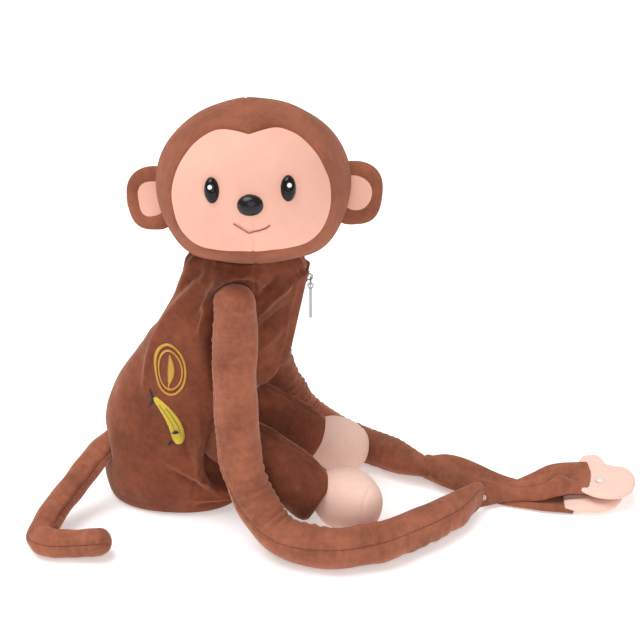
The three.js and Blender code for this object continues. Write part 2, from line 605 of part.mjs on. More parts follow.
// Ears: a brown cup with a peach lining, sewn against the side of the head
const headClear = headBall(-GAP);
[['right', -1], ['left', 1]].forEach(([side, sign]) => {
  const centre = [EAR.x, sign * EAR.y, EAR.z];
  const whole = solidOf(ellipsoid(centre, [EAR.halfThick, EAR.radius, EAR.radius], 16, 8));
  const hollow = (inset) => solidOf(ellipsoid(
    [EAR.x + EAR.halfThick * 0.75, sign * EAR.y, EAR.z],
    [6 - inset, EAR.radius * 0.68 - inset, EAR.radius * 0.68 - inset],
    12,
    8,
  ));
  const inFront = solidOf(box([-99, -150, -99], [EAR.x + EAR.halfThick * 0.6, 150, 99]));
  place(`ear_${side}`, whole.subtract(hollow(0)).subtract(headClear), MATERIALS.brown, head);
  const lining = hollow(GAP).intersect(inFront).subtract(headClear);
  place(`ear_${side}_lining`, lining, MATERIALS.peach, head);
});

export default monkey;
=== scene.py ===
import math

import bpy
import numpy as np
from bpy.props import FloatProperty, FloatVectorProperty, IntProperty, PointerProperty
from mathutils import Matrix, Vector


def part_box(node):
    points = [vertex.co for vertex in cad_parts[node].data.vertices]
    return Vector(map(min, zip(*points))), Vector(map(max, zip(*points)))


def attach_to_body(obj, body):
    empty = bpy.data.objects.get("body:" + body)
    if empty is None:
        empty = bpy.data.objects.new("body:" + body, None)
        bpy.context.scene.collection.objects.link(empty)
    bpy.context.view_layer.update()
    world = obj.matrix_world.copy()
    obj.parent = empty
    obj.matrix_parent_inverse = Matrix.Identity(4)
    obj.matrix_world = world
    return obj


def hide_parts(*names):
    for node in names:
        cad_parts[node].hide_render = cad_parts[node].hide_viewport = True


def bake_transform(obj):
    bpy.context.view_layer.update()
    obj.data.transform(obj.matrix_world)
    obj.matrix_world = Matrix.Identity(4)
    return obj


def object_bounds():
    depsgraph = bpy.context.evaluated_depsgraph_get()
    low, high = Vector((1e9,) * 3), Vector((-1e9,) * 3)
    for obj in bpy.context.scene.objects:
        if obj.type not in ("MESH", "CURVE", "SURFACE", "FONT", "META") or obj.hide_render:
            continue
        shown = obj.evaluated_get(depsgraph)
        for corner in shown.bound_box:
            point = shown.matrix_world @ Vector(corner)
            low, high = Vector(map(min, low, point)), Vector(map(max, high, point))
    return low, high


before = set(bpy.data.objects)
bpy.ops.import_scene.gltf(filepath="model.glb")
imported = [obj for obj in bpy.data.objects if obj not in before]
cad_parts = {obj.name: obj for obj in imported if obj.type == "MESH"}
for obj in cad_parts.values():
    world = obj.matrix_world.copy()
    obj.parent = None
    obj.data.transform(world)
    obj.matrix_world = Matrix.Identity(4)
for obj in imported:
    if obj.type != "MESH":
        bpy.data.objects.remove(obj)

bl_info = {
    "name": "Stuffed monkey",
    "version": (1, 0, 0),
    "blender": (4, 5, 0),
    "location": "3D View > Sidebar > Monkey",
    "description": "Cloth, stitching and finishes of a stuffed monkey around its fixed frame",
    "category": "Object",
}

CAD_BOX = [list(corner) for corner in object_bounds()]
MM = 0.001

# Bag: height, back X, front X and half width, in millimetres
BAG = np.array([
    (0, -70, 56, 50), (2, -73, 58, 53), (6, -75, 59, 55.5), (14, -77, 61, 58), (32, -78, 62, 60),
    (50, -78, 62, 61), (70, -77, 62, 61.5), (88, -75, 64, 61), (104, -70, 68, 59), (120, -63, 75, 57),
    (134, -54, 86, 54.5), (148, -44, 99, 52), (162, -34, 103.5, 50), (175, -24, 106, 48), (190, -15, 109, 46),
    (205, -7, 112.5, 44), (228, 1, 117, 42), (244, 5, 119, 40), (254, 9, 116, 39), (262, 18, 108, 36),
], float)
# Height and X of the pocket edge at the hips, where the thighs come out
HIP_POCKET = np.array([(20, 40), (30, 34), (37, 30), (51, 26), (70, 27), (80, 31), (90, 36)], float)
SIDE_SEAM = [(76, 262), (76, 229), (60, 180), (40, 120), (24, 60), (10, 4)]

# Folds as height, width and a route of X and Z: on the right flank, on the chest and on the left flank
FLANK_FOLDS = [
    (9.5, 6.0, [(43, 256), (19, 233), (3, 210), (-14, 181), (-24, 156), (-28, 138)]),
    (-6.5, 6.0, [(28, 252), (8, 230), (-4, 212), (-11, 198)]),
    (6.5, 4.5, [(20, 262), (12, 244), (3, 228), (-6, 212), (-12, 202)]),
    (-6.5, 5.0, [(56, 250), (36, 234), (22, 216), (13, 202)]),
    (8.5, 5.0, [(70, 256), (50, 248), (36, 232), (26, 216)]),
    (-5.5, 3.6, [(60, 243), (42, 236), (30, 218), (20, 196)]),
    (10.0, 4.6, [(84, 242), (76, 251), (63, 256), (48, 250), (36, 234), (28, 212), (24, 194)]),
    (-9.0, 5.0, [(66, 241), (50, 236), (40, 222), (36, 200), (35, 176), (38, 140)]),
    (4.0, 6.0, [(24, 118), (24, 92), (22, 66), (28, 46)]),
    (-4.0, 5.0, [(12, 104), (13, 78), (18, 54)]),
    (3.5, 4.0, [(-12, 68), (10, 52), (30, 38), (52, 14)]),
    (-3.5, 4.0, [(-6, 56), (14, 42), (36, 23)]),
    (2.8, 3.0, [(14, 20), (34, 17), (54, 11)]),
    (-2.5, 3.0, [(18, 12), (36, 11), (52, 7)]),
    (4.0, 3.6, [(36, 100), (24, 86), (19, 68), (21, 48), (30, 30), (46, 14)]),
]
FRONT_FOLDS = [
    (1.8, 1.8, [(112, 250), (109, 228), (104, 205), (99, 178), (92, 150)]),
    (4.5, 5.0, [(80, 212), (90, 224), (104, 236), (112, 244)]),
    (-5.5, 6.0, [(76, 230), (88, 238), (98, 250)]),
    (-4.5, 6.5, [(78, 196), (92, 206), (104, 216)]),
    (3.2, 6.0, [(78, 178), (90, 184), (100, 196)]),
    (-4.0, 7.0, [(76, 160), (88, 152), (96, 146)]),
    (4.5, 5.0, [(70, 142), (80, 136), (88, 142), (94, 150)]),
    (-3.5, 5.0, [(66, 126), (76, 120), (84, 128)]),
]
BACK_FOLDS = [
    (4.5, 7.0, [(20, 252), (-2, 226), (-20, 190), (-34, 160)]),
    (-3.5, 7.0, [(34, 250), (14, 224), (0, 196), (-10, 160)]),
    (3.5, 7.0, [(50, 250), (40, 220), (20, 180), (6, 140)]),
    (-3.0, 6.0, [(60, 240), (56, 200), (44, 160)]),
    (2.6, 9.0, [(-40, 110), (-20, 80), (10, 50), (40, 20)]),
    (-2.4, 8.0, [(-30, 60), (0, 40), (30, 14)]),
]

# Head frame: turned and tilted about its centre, in degrees
HEAD_TURN, HEAD_PITCH, HEAD_ROLL = -85, 20, 1.5
HEAD_RADII = np.array([82, 87, 76], float)
FACE_HALF = [
    (0, 45.5), (10, 48.3), (25, 50.5), (38, 46), (50, 36.5), (61, 21.5), (68.5, 3),
    (69.5, -10), (66.5, -25), (58, -40), (45, -50), (30, -55), (15, -57.5), (0, -58.2),
]
EYE = {"y": 32.5, "z": -2, "half": (6.9, 11.2), "dome": 5.5}
NOSE = {"z": -15, "half": (12, 9.9), "dome": 8.5}
# Depth of the stud behind each eye and the nose
STUD = 8
MOUTH = [(-14.6, -30), (-9, -33.6), (-1.6, -38.2), (1, -37.4), (8, -36), (12.5, -34.4), (16, -32)]
EAR = {"x": -10, "y": 92, "z": -13, "radius": 29, "half_thick": 8}

# Arms: routes of the middle lines, the side that the sewn seam lies on, radii along them, where they bend and
# crease, and how their ends flatten: width, height and rise
ARMS = {
    "right": {
        "route": [
            (60.5, -57, 250), (60.5, -58, 230), (61, -65, 203), (61, -74, 171), (63.5, -83, 122), (71, -93, 74),
            (86, -103, 43), (107, -114, 24.5), (131, -120, 20), (161, -121.5, 20), (192, -111.5, 19.8),
            (216, -94.5, 19), (240, -73, 18), (264, -49, 18), (280, -30, 18.5), (291, -18, 19),
        ],
        "seam": [(0, (-1, -0.2, 0)), (0.3, (-1, -0.35, 0)), (0.42, (-0.75, -0.8, 0.1)), (0.55, (-0.2, -0.9, 0.35)),
                 (0.7, (0, -0.9, 0.5)), (0.88, (0.2, -0.9, 0.6)), (1, (0.3, -0.8, 0.5))],
        "radii": [(0, 19), (0.1, 19.5), (0.5, 19.5), (0.8, 18.5), (0.93, 17), (1, 15)],
        "bend": (0.36, 0.62),
        "creases": [(0.03, 0.14), (0.62, 0.93)],
        "end": {"from": 0.89, "flat": (0.2, 1.12, 0.5)},
    },
    "left": {
        "route": [
            (62, 48, 250), (62, 52, 226), (63, 63, 192), (66, 70, 160), (71, 76, 128), (79, 83, 94),
            (91, 90, 60), (110, 93, 32), (136, 84, 20), (162, 68, 16.5), (188, 53, 16), (212, 39, 15.5),
            (234, 27, 15), (252, 19, 13),
        ],
        "seam": [(0, (1, 0.2, 0)), (0.4, (1, 0.2, 0)), (0.6, (0.4, 0.8, 0.5)), (1, (0.4, 0.7, 0.9))],
        "radii": [(0, 18.5), (0.1, 19), (0.5, 18.5), (0.68, 16.5), (0.85, 17), (1, 15)],
        "bend": (0.42, 0.66),
        "creases": [(0.05, 0.3), (0.66, 0.86)],
        "end": {"from": 0.84, "flat": (0.6, 0.5, -1.0)},
    },
}

LEGS = {
    "right": {"hip": (54, -37, 77), "ankle": (139, -65, 32), "foot": (162, -60, 31.5), "size": 1.0},
    "left": {"hip": (56, 26, 80), "ankle": (124, 34, 34), "foot": (144, 36, 30.5), "size": 0.95},
}
# Half height and half width of a leg; half length, half width and half height of a foot
LEG_HALF = (27.5, 25)
FOOT_HALF = (34, 25.5, 32.5)
TAIL_ROUTE = [
    (-54, -4, 64), (-66, -16, 58), (-78, -31, 51), (-90, -48, 41), (-102, -66, 30), (-112, -86, 21),
    (-117, -104, 15.5), (-119, -118, 13.5), (-114, -126, 13.5), (-104, -128.5, 13.2), (-88, -128, 13.6),
    (-70, -127, 15), (-50, -125.5, 16.5),
]
TAIL_SEAM = [(0, (0.75, -0.55, 0.35)), (0.5, (0.8, -0.35, 0.4)), (0.60, (0.8, -0.2, 0.5)),
             (0.68, (-0.5, -0.75, 0.35)), (0.75, (0, -0.9, 0.35)), (1, (0, -0.9, 0.4))]
TAIL_RADIUS = 13


# ---------------------------------------------------------------- properties
class MonkeySizes(bpy.types.PropertyGroup):
    pile: FloatProperty(name="Pile", description="Length of the velour pile", default=0.0007, unit="LENGTH")
    seam_depth: FloatProperty(name="Seam depth", description="How far seams sink", default=0.0011, unit="LENGTH")
    stitch: FloatProperty(name="Stitch length", description="Length of a seam stitch", default=0.0023, unit="LENGTH")
    thread: FloatProperty(name="Thread", description="Thickness of the sewing thread", default=0.0008, unit="LENGTH")
    wrinkle: FloatProperty(name="Wrinkle", description="Height of wrinkles on bent limbs", default=0.0013, unit="LENGTH")
    lump: FloatProperty(name="Lumps", description="Unevenness of the stuffing", default=0.0012, unit="LENGTH")
    view_distance: FloatProperty(name="View distance", description="Camera distance", default=1.65, unit="LENGTH")
    view_azimuth: FloatProperty(name="View azimuth", description="Camera turn",
                                default=math.radians(5), subtype="ANGLE")
    view_elevation: FloatProperty(name="View elevation", description="Camera height angle",
                                  default=math.radians(28), subtype="ANGLE")
    coil_turns: IntProperty(name="Zip coil turns", description="Turns of each zip coil", default=56, min=10, max=200)


class MonkeyColours(bpy.types.PropertyGroup):
    brown: FloatVectorProperty(name="Brown velour", description="Colour of the coat", subtype="COLOR",
                               default=(0.198, 0.056, 0.028))
    head: FloatVectorProperty(name="Head velour", description="Colour of the head and ears", subtype="COLOR",
                              default=(0.30, 0.100, 0.055))
    limb: FloatVectorProperty(name="Limb velour", description="Colour of arms and tail", subtype="COLOR",
                              default=(0.315, 0.104, 0.058))
    # The feet do not use this colour: they take a lighter painted copy of it, set in finish_of.
    peach: FloatVectorProperty(name="Peach velour", description="Colour of face, feet and ear linings",
                               subtype="COLOR", default=(0.82, 0.45, 0.35))
    palm: FloatVectorProperty(name="Pale velour", description="Colour of the hands", subtype="COLOR",
                              default=(0.86, 0.58, 0.49))
    thread: FloatVectorProperty(name="Seam thread", description="Colour of the sewing thread", subtype="COLOR",
                                default=(0.09, 0.018, 0.012))
    mouth: FloatVectorProperty(name="Mouth thread", description="Colour of the mouth", subtype="COLOR",
                               default=(0.46, 0.035, 0.035))
    gold: FloatVectorProperty(name="Gold thread", description="Colour of the badge", subtype="COLOR",
                              default=(0.80, 0.42, 0.035))
    yellow: FloatVectorProperty(name="Yellow thread", description="Colour of the banana", subtype="COLOR",
                                default=(0.80, 0.60, 0.03))
    tape: FloatVectorProperty(name="Zip tape", description="Colour of the zip tape", subtype="COLOR",
                              default=(0.07, 0.024, 0.014))


# ---------------------------------------------------------------- numbers on arrays
def unit(vectors):
    """Vectors divided by their lengths."""
    return vectors / np.maximum(np.linalg.norm(vectors, axis=-1, keepdims=True), 1e-9)


def ease(x, low, high):
    """Smooth step: 0 below low, 1 above high, and 3t^2 - 2t^3 between."""
    t = np.clip((x - low) / (high - low), 0, 1)
    return t * t * (3 - 2 * t)


def bell(x, width):
    """A bump of height 1 at x = 0: e to the power of minus (x / width) squared."""
    return np.exp(-((x / width) ** 2))


def hermite(knots, values, at):
    """Cubic through the values at the knots, each slope taken from the neighbours on both sides."""
    values = np.asarray(values, float)
    slopes = np.gradient(values, knots, axis=0)
    i = np.clip(np.searchsorted(knots, at, side="right") - 1, 0, len(knots) - 2)
    shape = np.shape(at) + (1,) * (values.ndim - 1)
    span = (knots[i + 1] - knots[i]).reshape(shape)
    u = (at - knots[i]).reshape(shape) / span
    start = (2 * u ** 3 - 3 * u ** 2 + 1) * values[i] + (u ** 3 - 2 * u ** 2 + u) * span * slopes[i]
    end = (3 * u ** 2 - 2 * u ** 3) * values[i + 1] + (u ** 3 - u ** 2) * span * slopes[i + 1]
    return start + end


def path_length(points):
    """Distance along a polyline at each of its points."""
    return np.concatenate([[0], np.cumsum(np.linalg.norm(np.diff(points, axis=0), axis=1))])


def curve_through(points, at=None, count=200):
    """Smooth curve through points. at is a list of distances along it, or count even ones are taken."""
    points = np.asarray(points, float)
    knots = np.concatenate([[0], np.cumsum(np.linalg.norm(np.diff(points, axis=0), axis=1) ** 0.5)])
    dense = hermite(knots, points, np.linspace(0, knots[-1], 96 * len(points)))
    length = path_length(dense)
    at = np.linspace(0, length[-1], count) if at is None else np.asarray(at) * length[-1]
    return np.stack([np.interp(at, length, dense[:, k]) for k in range(dense.shape[1])], -1)


def steps(rows, at):
    """Values between the rows of a short list of (fraction, value)."""
    fractions = np.array([row[0] for row in rows], float)
    values = np.array([row[1] for row in rows], float)
    if values.ndim == 1:
        return np.interp(at, fractions, values)
    return np.stack([np.interp(at, fractions, values[:, k]) for k in range(values.shape[1])], -1)


def lumps(points, size, seed):
    """Gentle unevenness from -1 to 1: the mean of eight sine waves in fixed directions, of about that size."""
    rng = np.random.default_rng(seed)
    waves = rng.normal(size=(8, 3)) * (2 * math.pi / size / 1.7)
    phases = rng.uniform(0, 2 * math.pi, 8)
    return np.sin(points @ waves.T + phases).mean(-1) * 2


def distance_to(points, route):
    """Shortest distance from each 2-D point to a polyline, and how far along it the nearest place is, 0 to 1."""
    a, b = route[:-1], route[1:]
    best = np.full(points.shape[:-1], 1e9)
    along = np.zeros(points.shape[:-1])
    for k in range(len(a)):
        line = b[k] - a[k]
        t = np.clip(((points - a[k]) @ line) / (line @ line), 0, 1)
        gap = np.linalg.norm(points - (a[k] + t[..., None] * line), axis=-1)
        nearer = gap < best
        best = np.where(nearer, gap, best)
        along = np.where(nearer, (k + t) / len(a), along)
    return best, along


def folds(points, rows):
    """Sum of folds: each is a bell with a narrow crest across its route, faded towards both ends."""
    total = np.zeros(points.shape[:-1])
    for height, width, route in rows:
        gap, along = distance_to(points, curve_through(route, count=24))
        fade = np.sqrt(np.clip(np.sin(math.pi * np.clip(along * 0.94 + 0.03, 0, 1)), 0, 1))
        total += height * fade * (0.6 * bell(gap, width) + 0.4 * bell(gap, 0.45 * width))
    return total


def normals_of(grid):
    """Unit normals of a grid of points, from the differences along its two directions."""
    return unit(np.cross(np.gradient(grid, axis=1), np.gradient(grid, axis=0)))


def around(columns):
    """Even angles round a full turn."""
    return np.arange(columns) * 2 * math.pi / columns


def box_of(node):
    """Lowest and highest corners of a node at rest, in millimetres."""
    return tuple(np.array(corner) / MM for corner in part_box(node))


# ---------------------------------------------------------------- meshes
def grid_mesh(name, grid, material):
    """Mesh from rows x columns of points in millimetres. Columns close round on themselves, and each end row
    is closed by a fan to its middle. UV is distance round and along, in metres."""
    rows, columns = grid.shape[:2]
    grid = grid * MM
    column = np.arange(columns)
    following = (column + 1) % columns
    row = np.arange(rows - 1)[:, None] * columns
    corners = [row + column, row + following, row + columns + following, row + columns + column]
    quads = np.stack(corners, -1).reshape(-1, 4)
    along = path_length(grid.mean(1))
    if along[-1] < 1e-6:
        along = np.linspace(0, 1, rows)
    girth = np.linspace(0, np.linalg.norm(np.diff(grid[rows // 2], axis=0), axis=1).sum(), columns + 1)
    rise, turn = (part.reshape(-1) for part in np.meshgrid(np.arange(rows - 1), column, indexing="ij"))
    u = np.stack([girth[turn], girth[turn + 1], girth[turn + 1], girth[turn]], -1)
    v = np.stack([along[rise], along[rise], along[rise + 1], along[rise + 1]], -1)
    uv = np.stack([u, v], -1).reshape(-1, 2)
    first, last = rows * columns, rows * columns + 1
    places = np.concatenate([grid.reshape(-1, 3), grid[0].mean(0)[None], grid[-1].mean(0)[None]])
    base = (rows - 1) * columns
    fans = np.concatenate([np.stack([following, column, column * 0 + first], -1),
                           np.stack([base + column, base + following, column * 0 + last], -1)])
    loops = np.concatenate([quads.reshape(-1), fans.reshape(-1)])
    sizes = np.concatenate([np.full(len(quads), 4), np.full(len(fans), 3)])
    return mesh_from(name, places, loops, sizes, material, np.concatenate([uv, np.zeros((fans.size, 2))]))


def mesh_from(name, places, loops, sizes, material, uv=None):
    """Smooth-shaded mesh whose faces point out: if its signed volume is negative, every face is turned round."""
    starts = np.concatenate([[0], np.cumsum(sizes)[:-1]])
    a, b, c = (places[loops[starts + k]] for k in (0, 1, 2))
    volume = np.einsum("ij,ij->i", a - places.mean(0), np.cross(b - a, c - a))
    quad = sizes == 4
    d = places[loops[(starts + 3)[quad]]]
    rest = np.einsum("ij,ij->i", a[quad] - places.mean(0), np.cross(c[quad] - a[quad], d - a[quad]))
    if volume.sum() + rest.sum() < 0:
        index = np.arange(len(loops))
        start = np.repeat(starts, sizes)
        size = np.repeat(sizes, sizes)
        order = start + (size - 1 - (index - start))
        loops = loops[order]
        uv = uv[order] if uv is not None else None
    mesh = bpy.data.meshes.new(name)
    mesh.vertices.add(len(places))
    mesh.vertices.foreach_set("co", np.ascontiguousarray(places, np.float32).ravel())
    mesh.loops.add(len(loops))
    mesh.loops.foreach_set("vertex_index", np.ascontiguousarray(loops, np.int32))
    mesh.polygons.add(len(sizes))
    mesh.polygons.foreach_set("loop_start", np.ascontiguousarray(starts, np.int32))
    mesh.polygons.foreach_set("use_smooth", np.ones(len(sizes), bool))
    if uv is not None:
        layer = mesh.uv_layers.new(name="cloth")
        layer.data.foreach_set("uv", np.ascontiguousarray(uv, np.float32).ravel())
    mesh.update(calc_edges=True)
    mesh.validate()
    mesh.materials.append(material)
    piece = bpy.data.objects.new(name, mesh)
    bpy.context.scene.collection.objects.link(piece)
    return piece


def repeated(name, shape, faces, centres, axes, material):
    """One mesh of many copies of a small shape. axes holds each copy's three local directions as rows."""
    places = np.einsum("vk,nkj->nvj", shape, axes) + centres[:, None]
    loops = (faces[None] + (np.arange(len(centres)) * len(shape))[:, None, None]).reshape(-1)
    sizes = np.full(len(centres) * len(faces), faces.shape[1])
    return mesh_from(name, places.reshape(-1, 3) * MM, loops, sizes, material)


def bead(length, thick, high):
    """A long bead, round at both ends, for one stitch: an ellipsoid as points and quad faces."""
    sides, rows = 6, 5
    phi = np.linspace(0.25, math.pi - 0.25, rows)
    theta = around(sides)
    x = np.broadcast_to(-np.cos(phi)[:, None] * length / 2, (rows, sides))
    y = np.sin(phi)[:, None] * np.cos(theta) * thick / 2
    z = np.sin(phi)[:, None] * np.sin(theta) * high / 2
    shape = np.stack([x, y, z], -1).reshape(-1, 3)
    i = np.arange(rows - 1)[:, None] * sides
    j = np.arange(sides)[None]
    k = (j + 1) % sides
    quads = np.stack(np.broadcast_arrays(i + j, i + sides + j, i + sides + k, i + k), -1).reshape(-1, 4)
    ends = np.array([[0, 1, 2, 3], [0, 3, 4, 5]])
    tops = (rows - 1) * sides + ends[:, ::-1]
    return shape, np.concatenate([quads, ends, tops])


def stitches(name, line, out, pitch, length, thick, material, lift=0.0):
    """A row of thread stitches along a line of points, each lying along it with its top facing out."""
    distance = path_length(line)
    at = np.arange(pitch / 2, distance[-1], pitch)
    centre = np.stack([np.interp(at, distance, line[:, k]) for k in range(3)], -1)
    top = unit(np.stack([np.interp(at, distance, out[:, k]) for k in range(3)], -1))
    way = np.gradient(line, axis=0)
    way = unit(np.stack([np.interp(at, distance, way[:, k]) for k in range(3)], -1))
    side = unit(np.cross(top, way))
    top = np.cross(way, side)
    shape, faces = bead(length, thick, thick * 0.8)
    return repeated(name, shape, faces, centre + top * lift, np.stack([way, side, top], 1), material)


def stations(length, start_cap, end_cap, step):
    """Distances along a tube and how wide it is there, 0 to 1: a quarter circle at each end, even between."""
    turn = np.linspace(0.1, math.pi / 2, 15)
    start = start_cap * (1 - np.cos(turn))
    end = length - end_cap * (1 - np.cos(turn))[::-1]
    middle = np.linspace(start_cap, length - end_cap, max(4, int((length - start_cap - end_cap) / step)))[1:-1]
    at = np.concatenate([start, middle, end])
    wide = np.concatenate([np.sin(turn), np.ones(len(middle)), np.sin(turn)[::-1]])
    return at / length, wide


def tube_frame(route, seam, at):
    """Middle line of a tube and its two side directions: out points to the sewn seam, square to the line."""
    centre = curve_through(route, at)
    way = unit(np.gradient(centre, axis=0))
    guide = steps(seam, at)
    out = unit(guide - (guide * way).sum(-1, keepdims=True) * way)
    return centre, way, out, np.cross(way, out)


# ---------------------------------------------------------------- materials
def new_material(name):
    """An empty node material, with its node tree and shader."""
    material = bpy.data.materials.new(name)
    material.use_nodes = True
    return material, material.node_tree, material.node_tree.nodes["Principled BSDF"]


def noise(tree, coordinates, scale, detail=3.0, roughness=0.6):
    """Fractal noise from 0 to 1 at those coordinates."""
    texture = tree.nodes.new("ShaderNodeTexNoise")
    texture.inputs["Scale"].default_value = scale
    texture.inputs["Detail"].default_value = detail
    texture.inputs["Roughness"].default_value = roughness
    tree.links.new(coordinates, texture.inputs["Vector"])
    return texture.outputs["Fac"]


def spread(tree, value, low, high, to_low=0.0, to_high=1.0):
    """The value, stretched from low..high to to_low..to_high."""
    mapping = tree.nodes.new("ShaderNodeMapRange")
    mapping.inputs["From Min"].default_value = low
    mapping.inputs["From Max"].default_value = high
    mapping.inputs["To Min"].default_value = to_low
    mapping.inputs["To Max"].default_value = to_high
    tree.links.new(value, mapping.inputs["Value"])
    return mapping.outputs["Result"]


def maths(tree, operation, a, b):
    """One sum of two numbers or sockets."""
    node = tree.nodes.new("ShaderNodeMath")
    node.operation = operation
    for socket, value in zip(node.inputs, (a, b)):
        if isinstance(value, (int, float)):
            socket.default_value = value
        else:
            tree.links.new(value, socket)
    return node.outputs["Value"]


def blend_colours(tree, factor, low, high):
    """Colour between low and high by the factor."""
    mix = tree.nodes.new("ShaderNodeMix")
    mix.data_type = "RGBA"
    mix.inputs["A"].default_value = (*low, 1)
    mix.inputs["B"].default_value = (*high, 1)
    tree.links.new(factor, mix.inputs["Factor"])
    return mix.outputs["Result"]


def bump(tree, height, distance, strength, shader):
    """Puts a height pattern on the shader's normal."""
    node = tree.nodes.new("ShaderNodeBump")
    node.inputs["Distance"].default_value = distance
    node.inputs["Strength"].default_value = strength
    tree.links.new(height, node.inputs["Height"])
    tree.links.new(node.outputs["Normal"], shader.inputs["Normal"])


def velour(name, colour, pile, contrast, sheen, tint, bands=0.0):
    """Short-pile velour: brushed patches from broad noise, a finer nap, and pile bumps. bands adds the
    crush marks across a limb, which read the piece's own UV."""
    material, tree, shader = new_material(name)
    place = tree.nodes.new("ShaderNodeTexCoord")
    patches = noise(tree, place.outputs["Object"], 26, 3, 0.55)
    nap = noise(tree, place.outputs["Object"], 170, 4, 0.7)
    factor = maths(tree, "ADD", maths(tree, "MULTIPLY", patches, 0.62), maths(tree, "MULTIPLY", nap, 0.38))
    if bands:
        stretch = tree.nodes.new("ShaderNodeMapping")
        stretch.inputs["Scale"].default_value = (14, 110, 1)
        tree.links.new(place.outputs["UV"], stretch.inputs["Vector"])
        crush = noise(tree, stretch.outputs["Vector"], 1, 3, 0.6)
        factor = maths(tree, "ADD", maths(tree, "MULTIPLY", factor, 1 - bands), maths(tree, "MULTIPLY", crush, bands))
    factor = spread(tree, factor, 0.38, 0.62)
    low = [c * (1 - contrast) for c in colour]
    high = [min(1, c * (1 + contrast * 0.75)) for c in colour]
    tree.links.new(blend_colours(tree, factor, low, high), shader.inputs["Base Color"])
    shader.inputs["Roughness"].default_value = 0.92
    shader.inputs["Specular IOR Level"].default_value = 0.18
    shader.inputs["Sheen Weight"].default_value = sheen
    shader.inputs["Sheen Roughness"].default_value = 0.42
    shader.inputs["Sheen Tint"].default_value = (*tint, 1)
    fine = noise(tree, place.outputs["Object"], 1500, 2, 0.6)
    coarse = noise(tree, place.outputs["Object"], 420, 3, 0.6)
    height = maths(tree, "ADD", maths(tree, "MULTIPLY", fine, 0.6), coarse)
    bump(tree, height, pile, 0.45, shader)
    return material


def thread(name, colour, waves=2600, gloss=0.45):
    """Twisted embroidery or sewing thread: fine slanted waves in colour and height, with a soft gloss."""
    material, tree, shader = new_material(name)
    place = tree.nodes.new("ShaderNodeTexCoord")
    wave = tree.nodes.new("ShaderNodeTexWave")
    wave.wave_type = "BANDS"
    wave.bands_direction = "DIAGONAL"
    wave.inputs["Scale"].default_value = waves / 6
    wave.inputs["Distortion"].default_value = 2
    tree.links.new(place.outputs["Object"], wave.inputs["Vector"])
    patches = noise(tree, place.outputs["Object"], 700, 2)
    factor = spread(tree, maths(tree, "ADD", wave.outputs["Fac"], patches), 0.4, 1.5)
    low = [c * 0.55 for c in colour]
    tree.links.new(blend_colours(tree, factor, low, colour), shader.inputs["Base Color"])
    shader.inputs["Roughness"].default_value = gloss
    shader.inputs["Sheen Weight"].default_value = 0.3
    bump(tree, wave.outputs["Fac"], 0.0002, 0.5, shader)
    return material


def hard(name, colour, roughness, metallic=0.0, coat=0.0, scratch=0.05, speckle=300, shine=0.5):
    """Moulded or plated finish: base colour and roughness vary a little with fine wear."""
    material, tree, shader = new_material(name)
    place = tree.nodes.new("ShaderNodeTexCoord")
    wear = noise(tree, place.outputs["Object"], speckle, 4, 0.65)
    dull = spread(tree, wear, 0.3, 0.7, max(0, roughness - scratch), roughness + scratch)
    tree.links.new(dull, shader.inputs["Roughness"])
    low = [c * 0.86 for c in colour]
    tree.links.new(blend_colours(tree, wear, low, colour), shader.inputs["Base Color"])
    shader.inputs["Metallic"].default_value = metallic
    shader.inputs["Specular IOR Level"].default_value = shine
    shader.inputs["Coat Weight"].default_value = coat
    shader.inputs["Coat Roughness"].default_value = 0.04
    bump(tree, wear, 0.00008, 0.2, shader)
    return material


def eye_material(name, glint_spots):
    """Black gloss with one round white painted highlight near the top of each eye, standing in for the lamp's glint."""
    material, tree, shader = new_material(name)
    place = tree.nodes.new("ShaderNodeTexCoord")
    nearest = None
    for spot in glint_spots:
        gap = tree.nodes.new("ShaderNodeVectorMath")
        gap.operation = "DISTANCE"
        tree.links.new(place.outputs["Object"], gap.inputs[0])
        gap.inputs[1].default_value = spot
        value = gap.outputs["Value"]
        nearest = value if nearest is None else maths(tree, "MINIMUM", nearest, value)
    # Painted highlight: white inside the glint dot, black gloss elsewhere.
    painted_glint = spread(tree, nearest, 0.0023, 0.0016)
    tree.links.new(blend_colours(tree, painted_glint, (0.004, 0.004, 0.004), (0.95, 0.95, 0.95)),
                   shader.inputs["Base Color"])
    shader.inputs["Roughness"].default_value = 0.07
    shader.inputs["Specular IOR Level"].default_value = 0.28
    grain = noise(tree, place.outputs["Object"], 90, 2)
    bump(tree, grain, 0.00005, 0.1, shader)
    return material


def woven(name, colour):
    """Woven zip tape: two crossed waves for the ribs."""
    material, tree, shader = new_material(name)
    place = tree.nodes.new("ShaderNodeTexCoord")
    ribs = []
    for direction in ("Y", "Z"):
        wave = tree.nodes.new("ShaderNodeTexWave")
        wave.bands_direction = direction
        wave.inputs["Scale"].default_value = 420
        tree.links.new(place.outputs["Object"], wave.inputs["Vector"])
        ribs.append(wave.outputs["Fac"])
    weave = maths(tree, "MULTIPLY", *ribs)
    low = [c * 0.5 for c in colour]
    tree.links.new(blend_colours(tree, weave, low, colour), shader.inputs["Base Color"])
    shader.inputs["Roughness"].default_value = 0.8
    bump(tree, weave, 0.0003, 0.7, shader)
    return material


